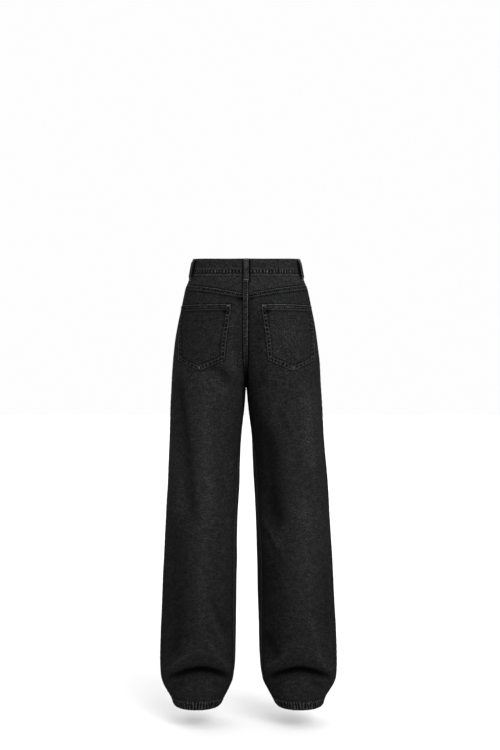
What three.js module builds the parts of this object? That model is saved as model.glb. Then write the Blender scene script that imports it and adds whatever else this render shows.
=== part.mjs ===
// Wide leg jeans, filled out as worn: a waistband with five belt loops, a V-shaped yoke, two back and
// two front panels whose legs break over the foot, patch pockets at the back, scooped pockets and a
// buttoned fly at the front, and turned-up hems.
//
// Millimetres, +Z up. The origin is the middle of the waist opening, half way up the waistband.
// The wearer faces -Y, so +X is the wearer's left. Each half of the garment is one surface,
// cloth(z, angle): a ring of superellipse arcs at every height, open at the centre seam above the
// crotch and closed into a leg below it. Every piece is a wall built from points of that surface.
import * as THREE from "three";

const CLOTH = 1.5; // thickness of one layer of denim
const SEAM_GAP = 0.3; // left between pieces at a seam and between layers
const HALF_GAP = SEAM_GAP / 2;

// The waistband: it stands proud of the cloth below it, and its right end steps in under its left end
// within tuckWide, from tuckFrom before the centre front.
const BAND = {
  top: 22.5, bottom: -21.5, proud: 1, inside: 2, underlap: 24, overlap: 14, tuckFrom: 60, tuckWide: 45,
};
const CROTCH_Z = -304;
const HEM_Z = -1124.5;
const HEM_DEPTH = 18;
const LEG_DRIFT = -5.3; // how far both hems stand towards -X

// The waist is cut higher at the sides, above riseFrom, and lower at the front. reach is the depth
// over which that changes.
const WAIST = { sideRise: 5, riseFrom: -100, frontDrop: 17, reach: 105 };

// The hem rides up on the instep: from the height startZ down, and from the depth startY forwards.
const INSTEP = { rise: 36, startZ: -800, startY: 20, reach: 136 };

// The right leg is a little fuller than the left: by this share of its width, between these heights.
const FULLER_LEG = { share: 0.028, from: -400, to: -560, ends: -1100, back: -1060 };

// Rings of one half. outer, inner: how far the widest and the innermost point are from the middle.
// centre: where the ring is deepest. back, front: its depth. keep: the share of that depth that the
// centre seam keeps, 0 where the ring closes into a leg. inseam, side: degrees by which those seams
// stand towards the back. square: the superellipse exponent.
const SECTION_NAMES = [
  "z", "outer", "inner", "centre", "back", "front", "keep", "inseam", "side", "square",
];
const SECTIONS = [
  [   22.5,   139, 0.15,     3,   109,   -103,     1,  0, -2,  2.1],
  [  -21.5, 147.5, 0.15,     5,   116,   -109,     1,  0, -3, 2.12],
  [    -62,   161, 0.15,    10,   124,   -113,     1,  0, -4, 2.15],
  [    -93,   168, 0.15,    20,   128,   -116, 0.998,  0, -5, 2.18],
  [   -124,   175, 0.15,    32, 130.5, -118.5,  0.99,  0, -5,  2.2],
  [   -171,   183, 0.15,    52,   132, -121.5, 0.965,  0, -5,  2.2],
  [   -218, 188.3, 0.15,    72, 130.5,   -123,  0.89,  0, -4,  2.2],
  [   -245, 190.6, 0.15,    82, 128.5, -123.5,   0.8,  0, -3, 2.18],
  [   -270, 192.2, 0.15,    90,   126, -123.5,  0.64,  0, -2, 2.15],
  [   -290,   193,  0.2,    95, 123.5, -123.3,  0.42,  0, -1, 2.12],
  [   -304, 193.6,  0.5,    97, 121.5,   -123,     0,  0,  0,  2.1],
  [ -311.5, 193.9,    3,    98, 120.5, -122.7,     0,  0,  0,  2.1],
  [ -342.7, 195.8,  5.6,   101,   117, -121.5,     0,  3,  1,  2.1],
  [ -389.5,   198,  9.8,   104,   112, -119.5,     0,  8,  2,  2.1],
  [ -436.3, 199.9, 13.4,   107,   107,   -117,     0, 14,  3,  2.1],
  [ -545.5, 206.3, 20.2,   113,    98,   -110,     0, 22,  5,  2.1],
  [ -701.5, 214.8, 26.7,   120,    88,    -97,     0, 24,  8,  2.1],
  [ -857.5, 223.2, 29.4,   125,    83,    -84,     0, 22, 11,  2.1],
  [ -951.1, 227.2, 31.1,   128,    82,    -76,     0, 20, 12,  2.1],
  [-1013.5, 228.2, 33.5,   130,    83,    -72,     0, 18, 12,  2.1],
  [-1044.7, 227.2, 36.8,   131,    80,    -76,     0, 16, 12, 2.08],
  [-1060.3, 224.9, 39.9,   132,  80.5,    -81,     0, 15, 12, 2.06],
  [-1075.9, 219.4, 46.5, 132.5,    83,    -88,     0, 14, 11, 2.04],
  [-1091.5, 210.2,   54,   132,    87,    -97,     0, 12, 10, 2.06],
  [-1107.1, 200.6, 62.4, 131.5,  91.5,   -107,     0, 10, 10, 2.12],
  [-1124.5, 193.8, 70.8,   132,  95.5,   -116,     0, 10, 10, 2.22],
].map((row) => Object.fromEntries(SECTION_NAMES.map((name, i) => [name, row[i]])));

// The two largest folds: where each leg breaks behind the ankle and over the instep. A trough runs
// round the leg about the angle `at`, its ends sag by `sag`, and a lip stands out above it.
const BREAKS = [
  {
    at: 90, reach: 70, z: -1020, sag: 48, depth: 14, above: 8, below: 22,
    lip: 5, lipRise: 16, lipWide: 12,
  },
  {
    at: -90, reach: 70, z: -1036, sag: -12, depth: 10, above: 12, below: 20,
    lip: 4, lipRise: 22, lipWide: 16,
  },
];

const YOKE = { centreZ: -69, sideZ: -42.5, ease: 2.05 };

// Back patch pocket. Arcs are measured along the cloth from the centre back seam.
const POCKET = {
  topZ: -95, cornerZ: -234, pointZ: -260.5,
  innerTop: 38, innerBottom: 58, outerTop: 207, outerBottom: 192,
};

// The panels' columns keep to the pocket and the fly beside them, and even out over these heights.
const EVEN_OUT = { below: 60, above: 40, aboveShare: 0.3 };

const SCOOP = { width: 100, depth: 115, inset: 2 };
const FLY = { width: 38, sideZ: -112, pointZ: -166, thick: 1.2, bendReach: 2.2 };

// Belt loops: shares of the way from the centre back to the centre front, negative on the right.
const LOOP = {
  width: 14, thick: 1.6, gap: 4.8, bow: 0.4, topZ: 22, bottomZ: -35, foot: 6, rise: 4, standOff: 0.5,
};
const LOOP_SHARES = {
  belt_loop_back: 0, belt_loop_side_left: 0.4, belt_loop_side_right: -0.4,
  belt_loop_front_left: 0.82, belt_loop_front_right: -0.82,
};
const BUTTON = { radius: 8.5, rim: 7.2, lip: 1.4, round: 0.9, thick: 3.4, dish: 0.8, gap: 0.4, sides: 16 };

const DENIM = { color: 0x222324, roughness: 0.92, metalness: 0 };
const LIGHT_DENIM = { color: 0x282929, roughness: 0.9, metalness: 0 };
const METAL = { color: 0x3a3a3c, roughness: 0.4, metalness: 0.9 };

const RADIANS = Math.PI / 180;
const ARC_STEPS = 240; // chords a ring's length is summed over
const ANGLE_STEP = 0.4; // degrees and millimetres across which the outward direction is taken
const HEIGHT_STEP = 0.5;
const clamp = (x, low, high) => Math.min(high, Math.max(low, x));
const mix = (a, b, t) => a + (b - a) * t;
const smooth = (x) => x * x * (3 - 2 * x);
const bell = (x) => Math.exp(-x * x);

// ---- the cloth surface ----

// A column of SECTIONS at height z, by a cubic that never overshoots its rows.
function column(name, z) {
  const rows = SECTIONS;
  const last = rows.length - 1;
  if (z >= rows[0].z) return rows[0][name];
  if (z <= rows[last].z) return rows[last][name];
  let i = 0;
  while (rows[i + 1].z > z) i += 1;
  const slope = (k) => (rows[k + 1][name] - rows[k][name]) / (rows[k + 1].z - rows[k].z);
  const tangent = (k) => {
    if (k === 0 || k === last) return slope(Math.min(k, last - 1));
    const before = slope(k - 1);
    const after = slope(k);
    return before * after <= 0 ? 0 : (2 * before * after) / (before + after);
  };
  const height = rows[i + 1].z - rows[i].z;
  const t = (z - rows[i].z) / height;
  const rest = 1 - t;
  return rows[i][name] * rest * rest * (1 + 2 * t) + rows[i + 1][name] * t * t * (3 - 2 * t)
    + height * (tangent(i) * t * rest * rest - tangent(i + 1) * t * t * rest);
}

const ringCache = new Map();
function ring(z) {
  if (!ringCache.has(z)) {
    ringCache.set(z, Object.fromEntries(SECTION_NAMES.map((name) => [name, column(name, z)])));
  }
  return ringCache.get(z);
}

// How far the breaks at the ankle push the cloth out (in, if negative).
function breakDepth(z, angle) {
  let out = 0;
  for (const fold of BREAKS) {
    const along = (angle - fold.at) / fold.reach;
    if (Math.abs(along) >= 1) continue;
    const fade = (1 - along * along) ** 1.5;
    const above = z - (fold.z - fold.sag * along * along);
    out -= fold.depth * fade * bell(above / (above > 0 ? fold.above : fold.below));
    out += fold.lip * fade * bell((above - fold.lipRise) / fold.lipWide);
  }
  return out;
}

// The ring's height changes a little round the body: see WAIST and INSTEP.
function lift(z, y) {
  const high = smooth(clamp((z - WAIST.riseFrom) / (BAND.top - WAIST.riseFrom), 0, 1));
  const trunk = smooth(clamp((z - CROTCH_Z) / (BAND.top - CROTCH_Z), 0, 1));
  const ankle = smooth(clamp((z - INSTEP.startZ) / (HEM_Z - INSTEP.startZ), 0, 1));
  const backward = clamp(y / WAIST.reach, 0, 1) ** 2;
  const forward = clamp(-y / WAIST.reach, 0, 1) ** 2;
  const onInstep = clamp((INSTEP.startY - y) / INSTEP.reach, 0, 1) ** 2;
  return WAIST.sideRise * high * (1 - backward) - WAIST.frontDrop * trunk * forward
    + INSTEP.rise * ankle * onInstep;
}

// A point of the left half at ring height z. The angle is 0 at the side, 90 at the back, -90 at the
// front and 180 or -180 at the centre seam or inseam.
function smoothCloth(z, angle) {
  const r = ring(z);
  const middle = (r.back + r.front) / 2;
  const depth = (r.back - r.front) / 2;
  const across = Math.abs(Math.cos(angle * RADIANS)) ** (2 / r.square);
  const outside = Math.abs(angle) <= 90;
  const x = outside ? r.centre + (r.outer - r.centre) * across : r.centre - (r.centre - r.inner) * across;
  const spent = across ** r.square * (outside ? 1 : 1 - r.keep ** r.square);
  const y = middle + Math.sign(angle) * depth * Math.max(0, 1 - spent) ** (1 / r.square);
  return new THREE.Vector3(x, y, z + lift(z, y));
}

function outward(surface, z, angle) {
  const low = clamp(angle - ANGLE_STEP, -180, 180);
  const high = clamp(angle + ANGLE_STEP, -180, 180);
  const around = surface(z, high).sub(surface(z, low));
  const up = surface(z + HEIGHT_STEP, angle).sub(surface(z - HEIGHT_STEP, angle));
  return around.cross(up).normalize();
}

function cloth(z, angle) {
  const push = breakDepth(z, angle);
  const point = smoothCloth(z, angle);
  return push === 0 ? point : point.addScaledVector(outward(smoothCloth, z, angle), push);
}

// Arc lengths round the ring from the centre back (or inseam) to the centre front.
const arcCache = new Map();
function arcs(z) {
  if (!arcCache.has(z)) {
    const list = [{ angle: 180, arc: 0 }];
    let before = smoothCloth(z, 180);
    for (let i = 1; i <= ARC_STEPS; i += 1) {
      const angle = 180 - (360 * i) / ARC_STEPS;
      const here = smoothCloth(z, angle);
      list.push({ angle, arc: list[i - 1].arc + here.distanceTo(before) });
      before = here;
    }
    arcCache.set(z, list);
  }
  return arcCache.get(z);
}

// Linear look-up in the ring's list, from one of its columns to the other.
function look(list, from, to, value) {
  const rising = list[1][from] > list[0][from];
  let i = list.findIndex((entry) => (rising ? entry[from] >= value : entry[from] <= value));
  i = i < 0 ? list.length - 1 : Math.max(1, i);
  const a = list[i - 1];
  const b = list[i];
  return mix(a[to], b[to], clamp((value - a[from]) / (b[from] - a[from]), 0, 1));
}

const around = (z) => arcs(z)[arcs(z).length - 1].arc;
const sideArc = (z) => look(arcs(z), "angle", "arc", ring(z).side);
const inseamArc = (z) => look(arcs(z), "angle", "arc", 180 - ring(z).inseam);
const angleAt = (z, arc) => look(arcs(z), "arc", "angle", arc > around(z) ? arc - around(z) : arc);

// How much fuller a half's leg is at height z, as a share of its width.
function fuller(half, z) {
  if (half > 0) return 0;
  const grows = smooth(clamp((z - FULLER_LEG.from) / (FULLER_LEG.to - FULLER_LEG.from), 0, 1));
  const ends = smooth(clamp((z - FULLER_LEG.ends) / (FULLER_LEG.back - FULLER_LEG.ends), 0, 1));
  return FULLER_LEG.share * grows * ends;
}

// A spot of the cloth: its point and its outward direction, on the left (1) or right (-1) half.
function spot(half, z, arc) {
  const angle = angleAt(z, arc);
  const point = cloth(z, angle);
  const normal = outward(cloth, z, angle);
  const drift = LEG_DRIFT * clamp((z - CROTCH_Z) / (HEM_Z - CROTCH_Z), 0, 1);
  const fromCentre = point.x - ring(z).centre;
  point.x = half * (point.x + fromCentre * fuller(half, z)) + drift;
  normal.x *= half;
  return { point, normal };
}

const moved = ({ point, normal }, out) => ({ point: point.clone().addScaledVector(normal, out), normal });
const between = (a, b, t) => ({
  point: a.point.clone().lerp(b.point, t),
  normal: a.normal.clone().lerp(b.normal, t).normalize(),
});

// ---- walls ----

// A closed wall on a grid of spots, from `low` to `high` along their outward directions. With
// `closed` the columns go right round. The volume's sign turns the faces outwards.
function wall(name, grid, low, high, finish, closed = false) {
  const rows = grid.length;
  const columns = grid[0].length;
  const points = [];
  const faces = [];
  for (const out of [low, high]) {
    for (const row of grid) points.push(...row.map((s) => moved(s, out).point));
  }
  const at = (layer, i, j) => layer * rows * columns + i * columns + (j % columns);
  const quad = (a, b, c, d) => faces.push(a, b, c, a, c, d);
  const across = closed ? columns : columns - 1;
  for (let i = 0; i < rows - 1; i += 1) {
    for (let j = 0; j < across; j += 1) {
      quad(at(1, i, j), at(1, i, j + 1), at(1, i + 1, j + 1), at(1, i + 1, j));
      quad(at(0, i, j), at(0, i + 1, j), at(0, i + 1, j + 1), at(0, i, j + 1));
    }
  }
  for (let j = 0; j < across; j += 1) {
    quad(at(0, 0, j), at(0, 0, j + 1), at(1, 0, j + 1), at(1, 0, j));
    quad(at(0, rows - 1, j + 1), at(0, rows - 1, j), at(1, rows - 1, j), at(1, rows - 1, j + 1));
  }
  for (let i = 0; i < rows - 1 && !closed; i += 1) {
    quad(at(0, i + 1, 0), at(0, i, 0), at(1, i, 0), at(1, i + 1, 0));
    const end = columns - 1;
    quad(at(0, i, end), at(0, i + 1, end), at(1, i + 1, end), at(1, i, end));
  }
  return solid(name, points, faces, finish);
}

function solid(name, points, faces, finish) {
  let volume = 0;
  const product = new THREE.Vector3();
  for (let i = 0; i < faces.length; i += 3) {
    volume += points[faces[i]].dot(product.crossVectors(points[faces[i + 1]], points[faces[i + 2]]));
  }
  if (volume < 0) faces.reverse();
  const geometry = new THREE.BufferGeometry();
  const positions = new THREE.Float32BufferAttribute(points.flatMap((p) => p.toArray()), 3);
  geometry.setAttribute("position", positions);
  geometry.setIndex(faces);
  geometry.computeVertexNormals();
  const mesh = new THREE.Mesh(geometry, new THREE.MeshStandardMaterial(finish));
  mesh.name = name;
  return mesh;
}

// ---- panels ----

const LEG_ROWS = [
  -320, -345, -385, -440, -510, -590, -670, -750, -830, -900, -950, -980, -994, -1004, -1012, -1020,
  -1028, -1037, -1048, -1061, -1076, -1091, HEM_Z + HEM_DEPTH, HEM_Z,
];
const CROTCH_ROWS = [-272, -286, -297, CROTCH_Z];

const yokeZ = (share) => mix(YOKE.centreZ, YOKE.sideZ, 1 - (1 - share) ** YOKE.ease);

// Columns of a back panel as shares from the centre seam to the side seam. Where the pocket is, the
// second and the last but one lie on its edges.
const BACK_COLUMNS = 11;
function backArc(j, z) {
  const from = inseamArc(z) + HALF_GAP;
  const to = sideArc(z) - HALF_GAP;
  const even = mix(from, to, j / BACK_COLUMNS);
  const down = clamp((POCKET.topZ - z) / (POCKET.topZ - POCKET.cornerZ), 0, 1);
  const inner = mix(POCKET.innerTop, POCKET.innerBottom, down);
  const outer = mix(POCKET.outerTop, POCKET.outerBottom, down);
  const onPocket = mix(inner, outer, (j - 1) / (BACK_COLUMNS - 2));
  const stop = { 0: from, [BACK_COLUMNS]: to }[j] ?? onPocket;
  const below = smooth(clamp((POCKET.pointZ - z) / EVEN_OUT.below, 0, 1));
  const above = clamp((z - POCKET.topZ) / EVEN_OUT.above, 0, EVEN_OUT.aboveShare);
  return mix(stop, even, Math.max(below, above));
}

const pointed = (j) => 1 - Math.abs((2 * (j - 1)) / (BACK_COLUMNS - 2) - 1);
function backRows() {
  const pocketBottom = (j) => mix(POCKET.cornerZ, POCKET.pointZ, clamp(pointed(j), 0, 1));
  const rows = [(j) => yokeZ(j / BACK_COLUMNS) - HALF_GAP, () => POCKET.topZ];
  for (const share of [0.25, 0.5, 0.75]) rows.push((j) => mix(POCKET.topZ, pocketBottom(j), share));
  rows.push(pocketBottom);
  for (const z of [...CROTCH_ROWS, ...LEG_ROWS]) rows.push(() => z);
  return rows;
}
const POCKET_TOP_ROW = 1;
const POCKET_BOTTOM_ROW = 5;

const gridOf = (half, rows, columns, arcOf) =>
  rows.map((zOf) => [...Array(columns + 1).keys()].map((j) => spot(half, zOf(j), arcOf(j, zOf(j)))));

const backGrid = (half) => gridOf(half, backRows(), BACK_COLUMNS, backArc);

// The yoke's lower edge shares the back panel's columns; its upper edge meets the waistband.
function yokeGrid(half) {
  const foot = (j) => yokeZ(j / BACK_COLUMNS) + HALF_GAP;
  const head = BAND.bottom - SEAM_GAP;
  return gridOf(half, [() => head, (j) => mix(head, foot(j), 0.5), foot], BACK_COLUMNS, backArc);
}

// Columns of a front panel run from the side seam, or from the edge of the scooped pocket, to the
// centre seam or inseam. The last but two lies on the edge of the fly.
const FRONT_COLUMNS = 11;
const FLY_COLUMNS = 2;
const FLY_START = FRONT_COLUMNS - FLY_COLUMNS;
const SCOOP_ROWS = [BAND.bottom - SEAM_GAP, -36, -54, -74, -94, -112, -124, -131.5];
const SCOOP_END = BAND.bottom - SEAM_GAP - SCOOP.depth;
const FRONT_BODY_ROWS = [SCOOP_END, -152, -182, -214, -242];

function scoopArc(z) {
  const down = clamp((BAND.bottom - SEAM_GAP - z) / SCOOP.depth, 0, 1);
  return SCOOP.width * Math.sqrt(1 - down * down);
}

function frontArc(j, z) {
  const centre = around(z) + inseamArc(z) - HALF_GAP;
  const edge = sideArc(z) + HALF_GAP + scoopArc(z);
  const even = mix(edge, centre, j / FRONT_COLUMNS);
  const flyEdge = centre - FLY.width;
  const stop = j >= FLY_START ? mix(flyEdge, centre, (j - FLY_START) / FLY_COLUMNS)
    : mix(edge, flyEdge, j / FLY_START);
  return mix(stop, even, smooth(clamp((FLY.pointZ - z) / EVEN_OUT.below, 0, 1)));
}

// Rows of the front panel. From the fly's side corner to its point they bend to follow its J.
function frontRows() {
  const bend = (j) => Math.sqrt(1 - clamp((FRONT_COLUMNS - j) / FLY_COLUMNS, 0, 1) ** 2);
  const rows = [...SCOOP_ROWS, ...FRONT_BODY_ROWS, ...CROTCH_ROWS, ...LEG_ROWS];
  return rows.map((z) => (j) => {
    if (z === FLY.sideZ) return mix(z, FLY.pointZ, bend(j));
    const reach = FLY.pointZ - FLY.sideZ;
    const under = clamp((z - FLY.sideZ) / (FLY.bendReach * reach), 0, 1);
    return z < FLY.sideZ && under < 1 ? z + bend(j) * reach * (1 - under) : z;
  });
}
const FLY_ROW = SCOOP_ROWS.indexOf(FLY.sideZ);

const frontGrid = (half) => gridOf(half, frontRows(), FRONT_COLUMNS, frontArc);

// The facing behind the scooped pocket: free cloth beside the side seam, then under the panel.
function facingGrid(half, front) {
  const under = -CLOTH - SEAM_GAP;
  return front.slice(0, SCOOP_ROWS.length).map((row, i) => {
    const z = SCOOP_ROWS[i];
    const open = scoopArc(z) - SCOOP.inset;
    const edge = sideArc(z) + HALF_GAP + SCOOP.inset;
    const free = [0, 0.5].map((share) => spot(half, z, edge + open * share));
    return [...free, row[0], row[1]].map((s) => moved(s, under));
  });
}

// ---- waistband, loops, button ----

// A spot of the trunk at height z, `share` of the way from the centre back to the centre front;
// negative on the right half. Past 1 it goes on over the centre front.
function trunkSpot(z, share) {
  const folded = Math.abs(share) > 1 ? -Math.sign(share) * (2 - Math.abs(share)) : share;
  return spot(folded < 0 ? -1 : 1, z, Math.abs(folded) * around(z));
}

// The waistband is one strip. Its right end runs under the left end at the centre front.
function waistband() {
  const seamZ = BAND.bottom - SEAM_GAP;
  const round = around(seamZ);
  const yoke = [...Array(BACK_COLUMNS).keys()].map((j) => backArc(j, seamZ) / round);
  const side = [sideArc(seamZ), sideArc(seamZ) + 0.5 * SCOOP.width].map((arc) => arc / round);
  const front = [...Array(FRONT_COLUMNS).keys()].map((j) => frontArc(j, seamZ) / round);
  const half = [...yoke.slice(1), ...side, ...front];
  const shares = [
    -1 - BAND.underlap / round, ...half.map((share) => -share).reverse(), 0, ...half,
    1 + BAND.overlap / round,
  ];
  const layer = BAND.proud + BAND.inside + SEAM_GAP;
  const past = (share) => (round * (-share - 1) + BAND.tuckFrom) / BAND.tuckWide;
  const tuck = (share) => -layer * smooth(clamp(past(share), 0, 1));
  const grid = [BAND.top, 0, BAND.bottom].map((z) =>
    shares.map((share) => moved(trunkSpot(z, share), tuck(share))));
  return wall("waistband", grid, -BAND.inside, BAND.proud, DENIM);
}

// A belt loop: a flat strip whose feet lie on the band's top and below its seam.
function beltLoop(name, share) {
  const above = BAND.proud + LOOP.standOff;
  const high = BAND.proud + LOOP.gap;
  const inTop = LOOP.topZ - LOOP.foot;
  const inBottom = LOOP.bottomZ + LOOP.foot;
  const path = [
    [LOOP.topZ, above], [inTop, above], [inTop - LOOP.rise, high], [0, high + LOOP.bow],
    [inBottom + LOOP.rise, high], [inBottom, LOOP.standOff + LOOP.bow], [LOOP.bottomZ, LOOP.standOff],
  ];
  const tangent = trunkSpot(0, share + 0.01).point.sub(trunkSpot(0, share - 0.01).point).normalize();
  const head = trunkSpot(BAND.top, share);
  const grid = path.map(([z, out]) => {
    const seat = z > 0 ? between(trunkSpot(0, share), head, z / BAND.top) : trunkSpot(z, share);
    const middle = moved(seat, out);
    return [-0.5, 0.5].map((way) => ({
      point: middle.point.clone().addScaledVector(tangent, way * LOOP.width),
      normal: middle.normal,
    }));
  });
  return wall(name, grid, 0, LOOP.thick, LIGHT_DENIM);
}

// A dished shank button on the overlapping end of the waistband.
function button() {
  const { radius, rim, lip, round, thick, dish, sides } = BUTTON;
  const profile = [
    [0, 0], [rim, 0], [radius, round], [radius, thick - round], [rim, thick],
    [rim - lip, thick - dish], [0, thick - dish],
  ];
  const geometry = new THREE.LatheGeometry(profile.map(([r, h]) => new THREE.Vector2(r, h)), sides);
  const mesh = new THREE.Mesh(geometry, new THREE.MeshStandardMaterial(METAL));
  const seat = moved(trunkSpot(0, 1), BAND.proud + BUTTON.gap);
  seat.normal.x = 0;
  mesh.position.copy(seat.point).setX(0);
  mesh.quaternion.setFromUnitVectors(new THREE.Vector3(0, 1, 0), seat.normal.normalize());
  mesh.name = "button";
  return mesh;
}

// ---- the garment ----

const jeans = new THREE.Group();
for (const [side, half] of [["left", 1], ["right", -1]]) {
  const back = backGrid(half);
  const front = frontGrid(half);
  jeans.add(wall(`back_${side}`, back, -CLOTH, 0, DENIM));
  jeans.add(wall(`front_${side}`, front, -CLOTH, 0, DENIM));
  jeans.add(wall(`yoke_${side}`, yokeGrid(half), -CLOTH, 0, DENIM));

  const pocket = back.slice(POCKET_TOP_ROW, POCKET_BOTTOM_ROW + 1).map((row) => row.slice(1, BACK_COLUMNS));
  jeans.add(wall(`pocket_${side}`, pocket, SEAM_GAP, SEAM_GAP + CLOTH, LIGHT_DENIM));
  jeans.add(wall(`pocket_facing_${side}`, facingGrid(half, front), -CLOTH, 0, DENIM));

  const under = -CLOTH - SEAM_GAP;
  const hem = [back, front].map((grid) => grid.slice(-2));
  const turned = hem[0].map((row, i) => [...row, ...hem[1][i]].map((s) => moved(s, under)));
  jeans.add(wall(`hem_${side}`, turned, -CLOTH, 0, DENIM, true));

  if (half > 0) {
    const fly = front.slice(0, FLY_ROW + 1).map((row) => row.slice(FLY_START));
    jeans.add(wall("fly", fly, SEAM_GAP, SEAM_GAP + FLY.thick, DENIM));
  }
}
jeans.add(waistband());
for (const [name, share] of Object.entries(LOOP_SHARES)) jeans.add(beltLoop(name, share));
jeans.add(button());

export default jeans;
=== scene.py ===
"""Wide leg jeans in washed black denim, filled out as worn: panels, yoke, pockets, waistband, loops and
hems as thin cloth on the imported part's surface, with felled seams, thread stitches, bar tacks and a button.

Lengths in the shape functions are millimetres; a mesh gets metres. The wearer faces -Y.
"""
import math

import bpy
import numpy as np
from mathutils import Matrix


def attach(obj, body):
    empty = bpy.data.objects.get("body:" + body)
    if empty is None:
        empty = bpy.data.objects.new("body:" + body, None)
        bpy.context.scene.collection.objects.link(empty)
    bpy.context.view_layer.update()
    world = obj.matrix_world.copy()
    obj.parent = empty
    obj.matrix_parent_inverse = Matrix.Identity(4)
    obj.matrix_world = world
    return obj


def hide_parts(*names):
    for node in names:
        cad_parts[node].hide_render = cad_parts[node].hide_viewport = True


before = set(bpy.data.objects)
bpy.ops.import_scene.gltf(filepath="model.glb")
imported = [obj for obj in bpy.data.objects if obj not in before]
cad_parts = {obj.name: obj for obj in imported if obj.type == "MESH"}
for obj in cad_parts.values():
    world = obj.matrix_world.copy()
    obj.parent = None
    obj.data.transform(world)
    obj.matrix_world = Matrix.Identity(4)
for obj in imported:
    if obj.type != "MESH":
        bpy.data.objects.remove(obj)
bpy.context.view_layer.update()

# ---------------------------------------------------------------- sizes

MM = 0.001
CLOTH = 1.5
SEAM_GAP = 0.3
HALF_GAP = SEAM_GAP / 2
BAND_TOP, BAND_BOTTOM = 22.5, -21.5
BAND_PROUD, BAND_INSIDE = 1.0, 2.0
BAND_UNDERLAP, BAND_OVERLAP = 24.0, 14.0
BAND_SEAM = BAND_BOTTOM - SEAM_GAP
FACING_CAUGHT, FACING_FOOT = 5.0, -136.0
TUCK_FROM, TUCK_WIDE = 60.0, 45.0
CROTCH_Z = -304.0
HEM_Z = -1124.5
HEM_DEPTH = 18.0
LEG_DRIFT = -5.3
WAIST_SIDE_RISE, WAIST_RISE_FROM, WAIST_FRONT_DROP, WAIST_REACH = 5.0, -100.0, 17.0, 105.0
INSTEP_RISE, INSTEP_START_Z, INSTEP_START_Y, INSTEP_REACH = 36.0, -800.0, 20.0, 136.0
FULLER_SHARE, FULLER_FROM, FULLER_TO, FULLER_ENDS, FULLER_BACK = 0.028, -400.0, -560.0, -1100.0, -1060.0

# Rings of one half, as the part has them: see ring_shape.
SECTION_NAMES = ("z", "outer", "inner", "centre", "back", "front", "keep", "inseam", "side", "square")
SECTIONS = np.array([
    (-1124.5, 193.8, 70.8, 132, 95.5, -116.0, 0, 10, 10, 2.22),
    (-1107.1, 200.6, 62.4, 131.5, 91.5, -107.0, 0, 10, 10, 2.12),
    (-1091.5, 210.2, 54.0, 132, 87.0, -97.0, 0, 12, 10, 2.06),
    (-1075.9, 219.4, 46.5, 132.5, 83.0, -88.0, 0, 14, 11, 2.04),
    (-1060.3, 224.9, 39.9, 132, 80.5, -81.0, 0, 15, 12, 2.06),
    (-1044.7, 227.2, 36.8, 131, 80.0, -76.0, 0, 16, 12, 2.08),
    (-1013.5, 228.2, 33.5, 130, 83.0, -72.0, 0, 18, 12, 2.1),
    (-951.1, 227.2, 31.1, 128, 82.0, -76.0, 0, 20, 12, 2.1),
    (-857.5, 223.2, 29.4, 125, 83.0, -84.0, 0, 22, 11, 2.1),
    (-701.5, 214.8, 26.7, 120, 88.0, -97.0, 0, 24, 8, 2.1),
    (-545.5, 206.3, 20.2, 113, 98.0, -110.0, 0, 22, 5, 2.1),
    (-436.3, 199.9, 13.4, 107, 107.0, -117.0, 0, 14, 3, 2.1),
    (-389.5, 198.0, 9.8, 104, 112.0, -119.5, 0, 8, 2, 2.1),
    (-342.7, 195.8, 5.6, 101, 117.0, -121.5, 0, 3, 1, 2.1),
    (-311.5, 193.9, 3.0, 98, 120.5, -122.7, 0, 0, 0, 2.1),
    (-304.0, 193.6, 0.5, 97, 121.5, -123.0, 0, 0, 0, 2.1),
    (-290.0, 193.0, 0.2, 95, 123.5, -123.3, 0.42, 0, -1, 2.12),
    (-270.0, 192.2, 0.15, 90, 126.0, -123.5, 0.64, 0, -2, 2.15),
    (-245.0, 190.6, 0.15, 82, 128.5, -123.5, 0.8, 0, -3, 2.18),
    (-218.0, 188.3, 0.15, 72, 130.5, -123.0, 0.89, 0, -4, 2.2),
    (-171.0, 183.0, 0.15, 52, 132.0, -121.5, 0.965, 0, -5, 2.2),
    (-124.0, 175.0, 0.15, 32, 130.5, -118.5, 0.99, 0, -5, 2.2),
    (-93.0, 168.0, 0.15, 20, 128.0, -116.0, 0.998, 0, -5, 2.18),
    (-62.0, 161.0, 0.15, 10, 124.0, -113.0, 1.0, 0, -4, 2.15),
    (-21.5, 147.5, 0.15, 5, 116.0, -109.0, 1.0, 0, -3, 2.12),
    (22.5, 139.0, 0.15, 3, 109.0, -103.0, 1.0, 0, -2, 2.1),
])

YOKE_CENTRE_Z, YOKE_SIDE_Z, YOKE_EASE = -69.0, -42.5, 2.05
POCKET_TOP, POCKET_CORNER, POCKET_POINT = -95.0, -234.0, -260.5
POCKET_INNER, POCKET_OUTER = (38.0, 58.0), (207.0, 192.0)
SCOOP_WIDTH, SCOOP_DEPTH = 100.0, 115.0
FLY_WIDTH, FLY_SIDE_Z, FLY_POINT_Z = 38.0, -112.0, -166.0

# Where each leg breaks behind the ankle and over the instep: on the left leg it is turned inwards by
# `turn`. The lip hangs over the trough by `hang`, and shade is how dark the painted shade in the
# trough is.
BREAKS = (
    dict(at=90, turn=6, reach=62, z=-1021, sag=37, depth=13, above=9, below=22,
         lip=3, rise=18, wide=12, hang=2, shade=3.0),
    dict(at=-90, turn=-3, reach=80, z=-1036, sag=-12, depth=10, above=9, below=20,
         lip=4.5, rise=18, wide=15, hang=6, shade=0.8),
)
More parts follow.
